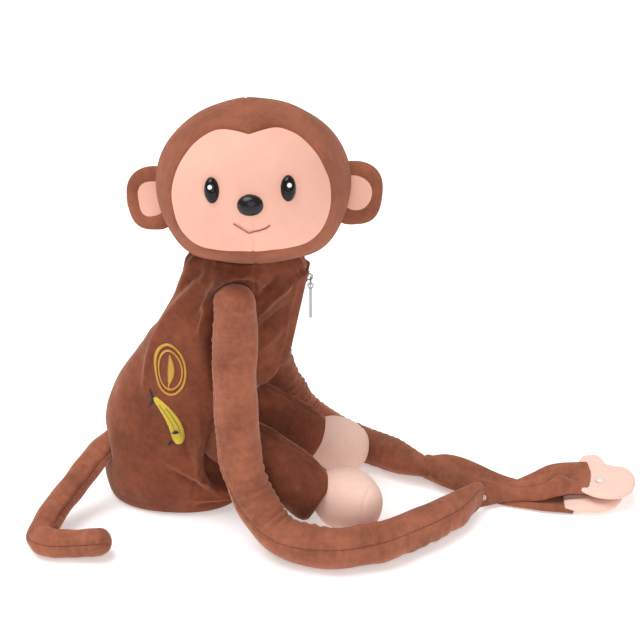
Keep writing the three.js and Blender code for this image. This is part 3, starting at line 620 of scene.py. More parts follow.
def finish_of(key):
    """The material of that name, made once."""
    found = bpy.data.materials.get(key)
    if found:
        return found
    colours = bpy.context.scene.monkey_colours
    pile = bpy.context.scene.monkey_sizes.pile
    warm = (1.0, 0.62, 0.46)
    coat, limb = tuple(colours.brown), tuple(colours.limb)
    makers = {
        "coat_pile": lambda: velour(key, coat, pile, 0.32, 0.38, warm),
        "head_pile": lambda: velour(key, tuple(colours.head), pile, 0.22, 0.12, warm),
        "limb_pile": lambda: velour(key, limb, pile, 0.36, 0.5, warm, 0.2),
        "face_pile": lambda: velour(key, tuple(colours.peach), pile * 0.6, 0.04, 0.25, (1, 0.86, 0.78)),
        # Feet: a lighter copy of the peach velour, painted bright to offset the shade the feet lie in.
        "foot_pile_painted_light": lambda: velour(key, (0.98, 0.66, 0.55), pile * 0.6, 0.05, 0.1, (1.0, 0.9, 0.85)),
        "palm_pile": lambda: velour(key, tuple(colours.palm), pile * 0.6, 0.04, 0.25, (1, 0.9, 0.85)),
        "seam_floss": lambda: thread(key, tuple(colours.thread)),
        "mouth_floss": lambda: thread(key, tuple(colours.mouth)),
        "gold_floss": lambda: thread(key, tuple(colours.gold), 3200, 0.4),
        "yellow_floss": lambda: thread(key, tuple(colours.yellow), 3200, 0.4),
        "olive_floss": lambda: thread(key, (0.42, 0.27, 0.02), 3200, 0.4),
        "dark_floss": lambda: thread(key, (0.022, 0.008, 0.004), 3200, 0.75),
        "tape_weave": lambda: woven(key, tuple(colours.tape)),
        "coil_nylon": lambda: hard(key, (0.05, 0.018, 0.011), 0.4),
        "nose_plastic": lambda: hard(key, (0.008, 0.006, 0.006), 0.24, 0.0, 0.0, 0.05, 700, 0.35),
        "plated_metal": lambda: hard(key, (0.42, 0.41, 0.40), 0.3, 1.0, 0.0, 0.08, 900),
        "snap_shell": lambda: hard(key, (0.80, 0.70, 0.66), 0.22, 0.0, 0.4),
        "clear_snap": lambda: hard(key, (0.48, 0.26, 0.19), 0.2, 0.0, 0.6),
        "washer_moulding": lambda: hard(key, (0.72, 0.72, 0.70), 0.5),
    }
    return makers[key]()


# ---------------------------------------------------------------- head surface
def turn_matrix(axis, degrees):
    """Right-handed turn about one axis."""
    c, s = math.cos(math.radians(degrees)), math.sin(math.radians(degrees))
    i, j = [(1, 2), (2, 0), (0, 1)][axis]
    matrix = np.eye(3)
    matrix[i, i] = matrix[j, j] = c
    matrix[i, j], matrix[j, i] = -s, s
    return matrix


HEAD_MATRIX = turn_matrix(2, HEAD_TURN) @ turn_matrix(1, -HEAD_PITCH) @ turn_matrix(0, HEAD_ROLL)


def head_to_world(points):
    """Points of the head frame, turned and moved to the middle of the head's box."""
    low, high = box_of("head_stuffing")
    return points @ HEAD_MATRIX.T + (low + high) / 2


def head_at(direction):
    """Point of the head along a direction: an ellipsoid, fuller at the jowls and flatter on top and below."""
    direction = unit(direction)
    radius = 1 / np.linalg.norm(direction / HEAD_RADII, axis=-1)
    x, y, z = np.moveaxis(direction, -1, 0)
    low = 4.6 * np.exp(-((np.abs(y) - 0.68) / 0.32) ** 2 - ((z + 0.64) / 0.36) ** 2)
    chin = -2.0 * bell(z + 1, 0.16)
    crown = -1.5 * bell(z - 1, 0.5)
    return direction * (radius + low + chin + crown)[..., None]


def on_face(y, z, lift=0.0):
    """Point of the head's front with those y and z, moved out by lift."""
    y, z = np.asarray(y, float), np.asarray(z, float)
    x = HEAD_RADII[0] * np.sqrt(np.clip(1 - (y / HEAD_RADII[1]) ** 2 - (z / HEAD_RADII[2]) ** 2, 0.02, 1))
    point = head_at(np.stack([x, y, z], -1))
    out = unit(point / HEAD_RADII ** 2)
    return point + out * np.asarray(lift, float)[..., None]


def face_outline(count):
    """Closed outline of the face in y and z, starting at the brow's middle, smooth except at that cusp."""
    half = curve_through(FACE_HALF, count=count // 2 + 1)
    other = half[1:-1][::-1] * np.array([-1, 1])
    return np.concatenate([half, other])


# ---------------------------------------------------------------- operators
def settings(context):
    """The sizes that the panel shows."""
    return context.scene.monkey_sizes


def attach(piece, body, slot, *nodes, fill=None):
    """Puts a finished piece on its body, in place of the nodes it stands for. slot is not used.
    fill is not used."""
    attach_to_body(piece, body)
    if nodes:
        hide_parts(*nodes)


def paint(node, key):
    """Gives a carried-over node its finish."""
    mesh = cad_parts[node].data
    mesh.materials.clear()
    mesh.materials.append(finish_of(key))


class MONKEY_OT_stage(bpy.types.Operator):
    """Pale floor, soft studio light and the camera"""
    bl_idname = "monkey.stage"
    bl_label = "Stage"

    def execute(self, context):
        sizes = settings(context)
        scene = context.scene
        scene.view_settings.view_transform = "Standard"
        bpy.ops.mesh.primitive_plane_add(size=40)
        floor = context.object
        floor.name = "floor"
        material, tree, shader = new_material("floor_card")
        place = tree.nodes.new("ShaderNodeTexCoord")
        grain = noise(tree, place.outputs["Object"], 3, 2)
        tree.links.new(blend_colours(tree, grain, (0.90, 0.90, 0.90), (0.92, 0.92, 0.92)),
                       shader.inputs["Base Color"])
        shader.inputs["Roughness"].default_value = 0.7
        shader.inputs["Specular IOR Level"].default_value = 0.1
        shader.inputs["Emission Color"].default_value = (1, 0.99, 0.98, 1)
        shader.inputs["Emission Strength"].default_value = 0.34
        floor.data.materials.append(material)

        world = bpy.data.worlds.new("studio")
        world.use_nodes = True
        world.node_tree.nodes["Background"].inputs["Color"].default_value = (1, 1, 1, 1)
        world.node_tree.nodes["Background"].inputs["Strength"].default_value = 0.45
        scene.world = world
        lamps = [
            ("overhead", (-0.35, 0.0, 1.0), 2.35, 45),
            ("front", (0.25, -1.0, 0.6), 0.72, 50),
        ]
        for name, way, strength, angle in lamps:
            lamp = bpy.data.lights.new(name, "SUN")
            lamp.energy = strength
            lamp.angle = math.radians(angle)
            holder = bpy.data.objects.new(name, lamp)
            holder.rotation_euler = Vector(way).to_track_quat("Z", "Y").to_euler()
            scene.collection.objects.link(holder)

        low, high = (Vector(corner) for corner in CAD_BOX)
        aim = low.lerp(high, 0.461).x, 0, low.lerp(high, 0.467).z
        azimuth, elevation = sizes.view_azimuth, sizes.view_elevation
        back = Vector((math.sin(azimuth) * math.cos(elevation), -math.cos(azimuth) * math.cos(elevation),
                       math.sin(elevation)))
        camera = bpy.data.cameras.new("camera")
        camera.lens = 99.8
        camera.sensor_width = 36
        camera.clip_start, camera.clip_end = 0.05, 50
        holder = bpy.data.objects.new("camera", camera)
        holder.location = Vector(aim) + back * sizes.view_distance
        holder.rotation_euler = back.to_track_quat("Z", "Y").to_euler()
        scene.collection.objects.link(holder)
        scene.camera = holder
        return {"FINISHED"}


class MONKEY_OT_head(bpy.types.Operator):
    """Brown crown of the head and the peach face"""
    bl_idname = "monkey.head"
    bl_label = "Head"

    def execute(self, context):
        sizes = settings(context)
        depth = sizes.seam_depth / MM
        lump = sizes.lump / MM
        outline = face_outline(120)
        closed = np.concatenate([outline, outline[:1]])

        phi = np.linspace(0.02, math.pi - 0.02, 230)[:, None]
        theta = around(320)[None]
        direction = np.stack([np.sin(phi) * np.cos(theta), np.cos(phi) + 0 * theta, np.sin(phi) * np.sin(theta)], -1)
        skin = head_at(direction)
        gap, _ = distance_to(skin[..., 1:], closed)
        angle = np.arctan2(skin[..., 1], skin[..., 2])
        edge = np.interp(np.abs(angle), *self.outline_radius(outline))
        inside = (np.hypot(skin[..., 1], skin[..., 2]) < edge) & (skin[..., 0] > 0)
        in_front = skin[..., 0] > 10
        seam = np.where(in_front, -1.7 * bell(gap, 1.3) + 0.5 * bell(gap - 4, 3), 0)
        seam = np.where(inside, -1.9 - 3.5 * ease(gap, 0, 3), seam)
        off = np.abs(skin[..., 1] + 4.5 * ease(skin[..., 2], 40, 76))
        middle = -depth * 0.5 * bell(off, 0.9) + 0.2 * bell(off - 4, 3)
        middle = middle * (~inside)
        soft = lump * 0.7 * lumps(skin, 60, 3)
        skin = skin + unit(skin / HEAD_RADII ** 2) * (seam + middle + soft)[..., None]
        crown = grid_mesh("head_crown", head_to_world(skin), finish_of("head_pile"))
        attach(crown, "head", "brown_velour", "head_right_panel", "head_left_panel", "head_stuffing", fill=0.95)

        outline = face_outline(360)
        s = np.concatenate([np.linspace(0.01, 0.9, 60), 1 - 0.1 * (1 - np.linspace(0, 1, 26)[1:]) ** 1.6])
        middle_of_face = np.array([0, -6.0])
        flat = middle_of_face + (outline - middle_of_face)[None] * s[:, None, None]
        gap, _ = distance_to(flat, closed)
        roll = np.where(gap < 3.2, 3.2 * np.sqrt(np.clip(1 - (1 - gap / 3.2) ** 2, 0, 1)), 3.2)
        lift = -2.2 + roll * 1.05
        y, z = flat[..., 0], flat[..., 1]
        chin_seam = -0.9 * bell(y, 0.9) * ease(-z, 37, 44)
        under_nose = -0.8 * bell(y, 3) * bell(z + 30, 6)
        sockets = sum(-1.2 * np.exp(-(((y - sign * EYE["y"]) / 11) ** 2) - (((z - EYE["z"]) / 14) ** 2))
                      for sign in (-1, 1))
        muzzle = 1.6 * np.exp(-((y / 26) ** 2) - (((z + 26) / 18) ** 2))
        mouth_gap, _ = distance_to(flat, curve_through(MOUTH, count=30))
        mouth = -0.7 * bell(mouth_gap, 1.5)
        front = on_face(y, z, lift + chin_seam + under_nose + sockets + muzzle + mouth)
        front = front + 0.35 * lumps(front, 34, 9)[..., None] * unit(front)
        back = on_face(y[::-1], z[::-1], np.full(y.shape, -4.5))
        face = grid_mesh("face", head_to_world(np.concatenate([front, back])), finish_of("face_pile"))
        attach(face, "head", "peach_velour", "face_patch", fill=0.9)
        return {"FINISHED"}

    @staticmethod
    def outline_radius(outline):
        """Angle from the brow and distance from the middle, for the right half of the outline."""
        half = outline[: len(outline) // 2 + 1]
        return np.arctan2(half[:, 0], half[:, 1]), np.hypot(half[:, 0], half[:, 1])


class MONKEY_OT_features(bpy.types.Operator):
    """Safety eyes, nose and the sewn mouth"""
    bl_idname = "monkey.features"
    bl_label = "Eyes, nose and mouth"

    def dome(self, name, y, z, half, height, power, material):
        """Dome on the face: its outline is a superellipse of that power, its profile a quarter circle on a
        narrow flange, and its underside a short stud."""
        centre = on_face(y, z, 0.2)
        out = unit(on_face(y, z) / HEAD_RADII ** 2)
        across = unit(np.cross([0, 0, 1], out))
        up = np.cross(out, across)
        theta = around(72)
        radius = (np.abs(np.cos(theta)) ** power + np.abs(np.sin(theta)) ** power) ** (-1 / power)
        turn = np.linspace(0.03, math.pi / 2, 22)
        profile = [(np.sin(t) * 0.94, height * np.cos(t) + 0.7) for t in turn]
        profile += [(0.97, 0.66), (1.0, 0.4), (1.0, 0.1), (0.96, -0.3), (0.4, -0.4), (0.3, -STUD), (0.02, -STUD)]
        profile = np.array(profile)
        ring = np.stack([np.cos(theta) * radius * half[0], np.sin(theta) * radius * half[1]], -1)
        flat = ring[None] * profile[:, :1, None]
        grid = centre + flat[..., :1] * across + flat[..., 1:] * up + profile[:, 1][:, None, None] * out
        return grid_mesh(name, head_to_world(grid), material)

    def execute(self, context):
        # Each eye's painted highlight: a white dot placed where the lamp's glint shows from the camera.
        glint_spots = []
        for sign in (-1, 1):
            out = unit(on_face(sign * EYE["y"], EYE["z"]) / HEAD_RADII ** 2)
            across = unit(np.cross([0, 0, 1], out))
            up = np.cross(out, across)
            place = on_face(sign * EYE["y"], EYE["z"]) + out * EYE["dome"] + up * 3.0 - across * sign * 0.8
            glint_spots.append(tuple(head_to_world(place) * MM))
        gloss = eye_material("eye_gloss", glint_spots)
        for side, sign in (("right", -1), ("left", 1)):
            eye = self.dome(f"eye_{side}_dome", sign * EYE["y"], EYE["z"], EYE["half"], EYE["dome"], 2.0, gloss)
            attach(eye, "head", "black_gloss_plastic", f"eye_{side}")
        nose = self.dome("nose_dome", 0, NOSE["z"], NOSE["half"], NOSE["dome"], 2.15, finish_of("nose_plastic"))
        attach(nose, "head", "black_gloss_plastic", "nose")

        line = curve_through(MOUTH, count=60)
        places = head_to_world(on_face(line[:, 0], line[:, 1], 1.6 + 1.6 * bell(line[:, 0], 26)))
        out = unit(on_face(line[:, 0], line[:, 1])) @ HEAD_MATRIX.T
        mouth = stitches("mouth", places, out, 2.1, 2.6, 1.3, finish_of("mouth_floss"), -0.35)
        attach(mouth, "head", "mouth_thread", "mouth_thread")
        for node in ("eye_right_washer", "eye_left_washer", "nose_washer"):
            paint(node, "washer_moulding")
        return {"FINISHED"}


class MONKEY_OT_ears(bpy.types.Operator):
    """Two cupped ears with peach linings"""
    bl_idname = "monkey.ears"
    bl_label = "Ears"

    def execute(self, context):
        for side, sign in (("right", -1), ("left", 1)):
            theta = around(120)
            squared = (np.abs(np.cos(theta)) ** 2.5 + np.abs(np.sin(theta)) ** 2.5) ** (-1 / 2.5)
            outline = squared * (1 + 0.018 * np.sin(3 * theta + 0.6) + 0.012 * np.sin(5 * theta))
            s_front = np.sin(np.linspace(0.02, math.pi / 2, 34))
            s_back = s_front[::-1]
            tall = EAR["radius"] * 0.99
            broad = tall * (0.82 if side == "right" else 0.86)
            thick = EAR["half_thick"]
            cup = thick * (0.62 * np.sqrt(np.clip(1 - s_front ** 6, 0, 1)) - 0.55 * np.exp(-((s_front / 0.62) ** 4)))
            rear = -thick * 0.85 * np.sqrt(np.clip(1 - s_back ** 3, 0, 1))
            s = np.concatenate([s_front, s_back[1:]])
            depth = np.concatenate([cup, rear[1:]])
            y = EAR["y"] - 1 + np.cos(theta)[None] * outline * broad * s[:, None]
            z = EAR["z"] + np.sin(theta)[None] * outline * tall * s[:, None]
            lean = 0.10 * (y - EAR["y"])
            x = EAR["x"] + depth[:, None] - lean + 0 * y
            grid = np.stack([x, y * sign, z], -1)
            grid = grid + 0.5 * lumps(grid, 22, 5)[..., None] * np.array([1, 0, 0])
            ear = grid_mesh(f"ear_{side}_cup", head_to_world(grid), finish_of("head_pile"))
            attach(ear, "head", "brown_velour", f"ear_{side}", fill=0.5)

            reach = np.where(np.cos(theta) > 0, broad * (1.04 if side == "right" else 0.96), broad * 0.7)
            s_front = np.sin(np.linspace(0.02, math.pi / 2, 22))
            puff = thick * (0.05 + 0.42 * np.sqrt(np.clip(1 - s_front ** 4, 0, 1)))
            s = np.concatenate([s_front, s_front[::-1][1:]])
            depth = np.concatenate([puff, np.full(len(s_front) - 1, -thick * 0.25)])
            y = EAR["y"] - 1 + np.cos(theta)[None] * reach * s[:, None]
            z = EAR["z"] - 1 + np.sin(theta)[None] * tall * 0.75 * s[:, None]
            x = EAR["x"] + depth[:, None] - 0.10 * (y - EAR["y"]) - 0.8
            lining = grid_mesh(f"ear_{side}_lining_pad", head_to_world(np.stack([x, y * sign, z], -1)),
                               finish_of("face_pile"))
            attach(lining, "head", "peach_velour", f"ear_{side}_lining", fill=0.4)
        return {"FINISHED"}


# ---------------------------------------------------------------- bag surface
def bag_section(z):
    """Middle X, half length and half width of the bag at heights z."""
    back, front, half = (hermite(BAG[:, 0], BAG[:, k], np.clip(z, BAG[0, 0], BAG[-1, 0])) for k in (1, 2, 3))
    return (back + front) / 2, (front - back) / 2, half


def bag_folds(x, y, z):
    """How far the cloth stands out at a place: drawn folds on each side, side seams and loose lumps."""
    at = np.stack([x, z], -1)
    right = ease(-y, 4, 20)
    left = ease(y, 4, 20)
    stand = folds(at, FLANK_FOLDS) * right + folds(at, BACK_FOLDS) * left
    pocket = ease(x - np.interp(z, *HIP_POCKET.T), 0, 4) * ease(z, 22, 38) * (1 - ease(z, 75, 82))
    stand = stand - 17 * pocket * np.where(np.abs(y) > 4, 1, 0)
    stand = stand + folds(at, FRONT_FOLDS) * (right + 0.8 * left)
    gap, _ = distance_to(at, curve_through(SIDE_SEAM, count=40))
    stand = stand + (-1.3 * bell(gap, 1.3) + 0.6 * bell(gap - 4, 2.5)) * (right + left)
    gathers = np.sin(np.arctan2(y, x - 66) * 22 + z * 0.12) * 0.9 * ease(z, 225, 255)
    return stand + gathers


def bag_skin(along_share, z, side):
    """Bag surface where the share of its half length is along_share (-1 back, 1 front), at heights z and on
    one side (-1 right, 1 left): a superellipse, squarer near the seat, with folds and lumps added."""
    middle, along, half = bag_section(z)
    power = 1 + 0.16 * ease(120 - z, 0, 60)
    turn = np.sign(along_share) * np.abs(along_share) ** power
    x = middle + along * along_share
    y = side * half * np.sqrt(np.clip(1 - turn ** 2, 0, 1)) ** (1 / power)
    out = unit(np.stack([along_share / along, y / half ** 2, 0 * x], -1))
    place = np.stack([x, y, z], -1)
    lump = bpy.context.scene.monkey_sizes.lump / MM
    stand = bag_folds(x, y, z) + lump * 1.3 * lumps(place, 75, 11) + 0.7 * lumps(place, 24, 12)
    return place, out, stand * ease(z, 1, 14)


def flank(x, z, lift=0.0):
    """Point of the bag's right flank at X and Z, moved out by lift, with the folds in it."""
    x, z = np.asarray(x, float), np.asarray(z, float)
    middle, along, _ = bag_section(z)
    place, out, stand = bag_skin((x - middle) / along, z, -1)
    return place + out * (stand + np.asarray(lift))[..., None], out


class MONKEY_OT_bag(bpy.types.Operator):
    """Loose cloth bag of the body, up to the neck"""
    bl_idname = "monkey.bag"
    bl_label = "Body bag"

    def execute(self, context):
        theta = around(360)
        sides = np.linspace(0, BAG[-1, 0], 250)
        heights = np.concatenate([np.zeros(12), [0.4, 0.9], sides[1:], np.full(10, BAG[-1, 0])])
        share = np.concatenate([np.linspace(0.03, 0.97, 12), np.ones(1 + len(sides)), np.linspace(0.95, 0.05, 10)])
        z = np.broadcast_to(heights[:, None], (len(heights), len(theta)))
        power = 1 + 0.16 * ease(120 - z, 0, 60)
        along_share = np.sign(np.cos(theta)) * np.abs(np.cos(theta)) ** (1 / power)
        grid, out, stand = bag_skin(along_share, z, np.where(np.sin(theta) < 0, -1, 1))
        middle = bag_section(z)[0]
        inner = np.stack([middle, 0 * z, z], -1)
        grid = inner + (grid - inner) * share[:, None, None]
        walls = share[:, None] > 0.99
        stand = stand * walls
        root = np.array([-74, -22, 54])
        dimple = -6 * bell(np.linalg.norm(grid - root, axis=-1), 17)
        zip_top, zip_foot = self.zip_line()
        slope = (zip_top[0] - zip_foot[0]) / (zip_top[2] - zip_foot[2])
        zip_x = zip_foot[0] + slope * (z - zip_foot[2])
        off = np.abs(grid[..., 1])
        lip_x = zip_x - 0.7 + 2.6 * ease(off, 8.1, 9.4)
        near_zip = (1 - ease(off, 11, 24)) * ease(z, zip_foot[2] - 9, zip_foot[2] - 2)
        near_zip = near_zip * (grid[..., 0] > middle)
        near_zip = near_zip * (1 - ease(z, zip_top[2] + 1, zip_top[2] + 6)) * walls
        grid = grid + out * (stand + dimple)[..., None]
        grid[..., 0] = grid[..., 0] * (1 - near_zip) + lip_x * near_zip
        grid[..., 2] = np.maximum(grid[..., 2], 0)
        bag = grid_mesh("bag_cloth", grid, finish_of("coat_pile"))
        attach(bag, "bag", "brown_velour", "bag_back_panel", "bag_front_right_panel", "bag_front_left_panel",
               "bag_filling", "bag_base_panel", fill=0.55)

        theta = around(160)
        low, high = box_of("neck_stitching")
        middle = (low + high) / 2
        ring = np.stack([np.cos(theta), np.sin(theta), 0 * theta], -1)
        radius = (high - low)[0] / 2
        line = middle + ring * np.array([radius, radius * 0.94, 0]) + np.array([0, 0, 8])
        line = np.concatenate([line, line[:1]])
        seam = stitches("neck_ladder_stitches", line, np.concatenate([ring, ring[:1]]), 3.4, 2.4, 0.9,
                        finish_of("seam_floss"))
        attach(seam, "neck", "seam_thread", "neck_stitching")
        return {"FINISHED"}

    @staticmethod
    def zip_line():
        """Middle of the zip's top and foot, from the boxes of its tapes."""
        low, high = box_of("zip_tape_right")
        return np.array([high[0], 0, high[2]]), np.array([low[0], 0, low[2]])


class MONKEY_OT_embroidery(bpy.types.Operator):
    """Badge and banana in satin stitch on the right flank"""
    bl_idname = "monkey.embroidery"
    bl_label = "Embroidery"

    def band(self, name, middle_line, width, material, slot, node=None, closed=True, lift=0.25):
        """Satin-stitched band: short threads laid side by side square to a line on the flank."""
        pitch = 0.55
        loop = np.concatenate([middle_line, middle_line[:1]]) if closed else middle_line
        distance = path_length(loop)
        at = np.arange(0, distance[-1], pitch)
        centre = np.stack([np.interp(at, distance, loop[:, k]) for k in range(2)], -1)
        way = unit(np.gradient(centre, axis=0))
        side = np.stack([-way[:, 1], way[:, 0]], -1)
        widths = np.interp(at, distance, width) if np.ndim(width) else np.full(len(at), width)
        inner, out = flank(*(centre - side * widths[:, None] / 2).T, lift)
        outer, _ = flank(*(centre + side * widths[:, None] / 2).T, lift)
        across = outer - inner
        shape, faces = bead(1.0, 0.7, 1.0)
        axes = np.stack([across, unit(np.cross(out, across)), out * 0.9], 1)
        piece = repeated(name, shape, faces, (inner + outer) / 2 + out * 0.3, axes, material)
        attach(piece, "bag", slot, *([node] if node else []))

    def execute(self, context):
        low, high = box_of("badge_outer_ring")
        centre = ((low + high) / 2)[[0, 2]]
        centre = centre + np.array([-2.5, 1])
        half = (high - low)[[0, 2]] / 2 * np.array([1, 0.9])
        turn = around(160)
        ring = np.stack([np.cos(turn), np.sin(turn)], -1)
        gold = finish_of("gold_floss")
        self.band("badge_outer_stitches", centre + ring * (half - 1), 2.4, gold, "gold_thread", "badge_outer_ring")
        self.band("badge_inner_stitches", centre + ring * half * 0.74, 1.8, gold, "gold_thread", "badge_inner_ring")
        t = np.linspace(0, 1, 60)
        spine = np.stack([centre[0] + 1.6 * np.sin(t * math.pi) - 0.8, centre[1] - 13 + 26 * t], -1)
        wide = 7.4 * np.sin(math.pi * np.clip(t, 0.03, 0.97)) ** 0.8
        self.band("badge_leaf_stitches", spine, wide, gold, "gold_thread", "badge_leaf", False)
        stem = np.stack([centre[0] - 1 + 0 * t, centre[1] - 17 + 5 * t], -1)
        self.band("badge_stem_stitches", stem, 1.2, gold, "gold_thread", None, False)

        low, high = box_of("banana_patch")
        middle = ((low + high) / 2)[[0, 2]] + np.array([-2.5, 1.5])
        spine = np.array([(-13.0, 21.5), (-3.5, 12.5), (5, -1), (8.5, -12), (9.5, -22)])
        route = curve_through(middle + spine, count=80)
        share = np.linspace(0, 1, 80)
        width = steps([(0, 3.6), (0.12, 6.0), (0.35, 9.4), (0.6, 11.4), (0.85, 12), (0.96, 10), (1, 5)], share)
        yellow = finish_of("yellow_floss")
        lanes = np.linspace(-0.5, 0.5, 17)
        way = unit(np.gradient(route, axis=0))
        side = np.stack([-way[:, 1], way[:, 0]], -1)
        rng = np.random.default_rng(4)
        centres, axes = [], []
        for lane in lanes:
            line = route + side * (width * lane)[:, None]
            places, out = flank(*line.T, 0.4 + 0.7 * (1 - (2 * abs(lane)) ** 2))
            cuts = np.arange(0, 78, 11) + rng.integers(-3, 4)
            cuts = np.clip(cuts, 0, 72)
            start, end = places[cuts], places[np.minimum(cuts + 15, 79)]
            centres.append((start + end) / 2)
            along = end - start
            axes.append(np.stack([along * 1.1, unit(np.cross(out[cuts], along)), out[cuts]], 1))
        shape, faces = bead(1.0, 0.95, 0.9)
        banana = repeated("banana_stitches", shape, faces, np.concatenate(centres), np.concatenate(axes), yellow)
        attach(banana, "bag", "yellow_thread", "banana_patch")
        dark = finish_of("dark_floss")
        marks = {
            "banana_stem_upper_stitches": ([(-17.5, 28), (-15.5, 23), (-14.5, 19)], 3.4, 0.3),
            "banana_stem_lower_stitches": ([(-14.5, 20), (-16.5, 16), (-19, 12.5)], 2.6, 0.3),
            "banana_spot_stitches": ([(3.5, -11), (6.5, -9.5), (9.5, -10.5)], 4.0, 1.5),
            "banana_tip_stitches": ([(-1, -24), (2.5, -20.5), (5.5, -21.5)], 3.0, 1.2),
        }
        for name, (corners, thick, lift) in marks.items():
            line = curve_through(middle + np.array(corners), count=30)
            wide = thick * np.sin(math.pi * np.linspace(0.08, 0.92, 30))
            self.band(name, line, wide, dark, "seam_thread", None, False, lift)
        for number, (lane, start, end) in enumerate([(-0.16, 12, 58), (0.2, 20, 70)]):
            line = (route + side * (width * lane)[:, None])[start:end]
            self.band(f"banana_streak_{number + 1}_stitches", line, 0.9 + 0 * line[:, 0],
                      finish_of("olive_floss"), "yellow_thread", None, False, 1.05)
        return {"FINISHED"}


class MONKEY_OT_arms(bpy.types.Operator):
    """Long stuffed arms with their sewn seams"""
    bl_idname = "monkey.arms"
    bl_label = "Arms"

    def execute(self, context):
        sizes = settings(context)
        wrinkle, lump = sizes.wrinkle / MM, sizes.lump / MM
        for side, arm in ARMS.items():
            length = path_length(curve_through(arm["route"], count=400))[-1]
            at, wide = stations(length, 17, 13, 1.1)
            centre, way, out, other = tube_frame(arm["route"], arm["seam"], at)
            theta = around(96)
            radius = steps(arm["radii"], at) * wide
            turn = np.minimum(theta, 2 * math.pi - theta)[None] * radius[:, None]
            distance = (at * length)[:, None]
            bend_start, bend_end = arm["bend"]
            bend = ease(at, bend_start - 0.08, bend_start + 0.04)[:, None]
            bend = bend * (1 - ease(at, bend_end - 0.04, bend_end + 0.08))[:, None]
            inward = unit(np.gradient(way, axis=0) + 1e-9)
            facing = np.cos(theta)[None] * (out * inward).sum(-1)[:, None]
            facing = facing + np.sin(theta)[None] * (other * inward).sum(-1)[:, None]
            phase = distance * 2 * math.pi / 10 + 1.6 * np.sin(distance / 17) + 0.5 * np.sin(distance / 5.3)
            rings = (0.5 - np.abs(np.sin(phase / 2)) ** 1.2) * -wrinkle * 1.5 * (0.7 + 0.3 * np.sin(distance / 7))
            rings = rings * ease(facing, 0.0, 0.8) * bend
            creases = sum(ease(at, a, a + 0.05) * (1 - ease(at, b - 0.05, b)) for a, b in arm["creases"])[:, None]
            slant = distance * 2 * math.pi / 13 + 1.4 * np.sin(theta * 2)[None] + 2 * np.sin(distance / 23)
            fine = np.sin(slant) * wrinkle * 0.3 * (0.5 + 0.5 * np.sin(distance / 31 + theta[None]))
            seam = (-sizes.seam_depth / MM * bell(turn, 1.3) + 0.8 * bell(turn - 4, 2.6))
            puckers = 0.25 * np.sin(distance * 2 * math.pi / 7) * bell(turn - 4.5, 4)
            base = radius[:, None] + (rings + fine * creases + seam + puckers) * wide[:, None]
            direction = np.cos(theta)[None, :, None] * out[:, None] + np.sin(theta)[None, :, None] * other[:, None]
            grid = centre[:, None] + direction * base[..., None]
            grid = grid + direction * (lump * 0.9 * lumps(grid, 42, 21) * wide[:, None])[..., None]
            across, upright, rise = arm["end"]["flat"]
            closing = ease(at, arm["end"]["from"], 1.0)[:, None, None]
            offset = grid - centre[:, None]
            drift = (offset * way[:, None]).sum(-1, keepdims=True) * way[:, None]
            scale = 1 + (np.array([across, across, upright]) - 1) * closing
            grid = centre[:, None] + drift + (offset - drift) * scale + np.array([0, 0, 1]) * rise * closing
            low = grid[..., 2] < 5
            grid[..., 2] = np.where(low, np.maximum(5 + (grid[..., 2] - 5) * 0.55, 0.6), grid[..., 2])
            piece = grid_mesh(f"arm_{side}", grid, finish_of("limb_pile"))
            attach(piece, f"{side}_arm", "brown_velour", f"arm_{side}_sleeve", f"arm_{side}_stuffing", fill=0.85)

            sewn = (at > 0.3) & (at < 0.985)
            row = stitches(f"arm_{side}_stitches", grid[sewn, 0], out[sewn], 3.0, sizes.stitch / MM,
                           sizes.thread / MM, finish_of("seam_floss"), 0.15)
            attach(row, f"{side}_arm", "seam_thread")
        return {"FINISHED"}


def ribbon(edge_near, edge_far, rise, thick, flatness, bow):
    """Flat cloth tube between two edge lines in X, Y and Z: rise(s, t) lifts it at share s along and t across,
    and its two sides lie thick(s) apart. Edges are rounder where flatness(s) is low, and the last end bows
    out."""
    rows, columns = 150, 70
    near, far = (curve_through(edge, count=rows) for edge in (edge_near, edge_far))
    s = np.linspace(0, 1, rows)[:, None]
    t_up = (1 - np.cos(np.linspace(0, math.pi, columns))) / 2
    t = np.concatenate([t_up, t_up[::-1][1:-1]])[None]
    upper = np.concatenate([np.ones(columns), np.zeros(columns - 2)])[None]
    edge = np.sqrt(np.clip(1 - np.abs(2 * t - 1) ** flatness(s), 0, 1))
    middle = near[:, None] * (1 - t[..., None]) + far[:, None] * t[..., None]
    middle[..., 2] += rise(s, t)
    middle[..., 0] += bow * (1 - (2 * t - 1) ** 2) * ease(s, 0.85, 1)
    out = normals_of(middle[:, :columns])
    out = out * np.sign(out[..., 2:])
    out = np.concatenate([out, out[:, 1:-1][:, ::-1]], 1)
    return middle + out * ((upper - 0.5) * thick(s) * edge)[..., None]


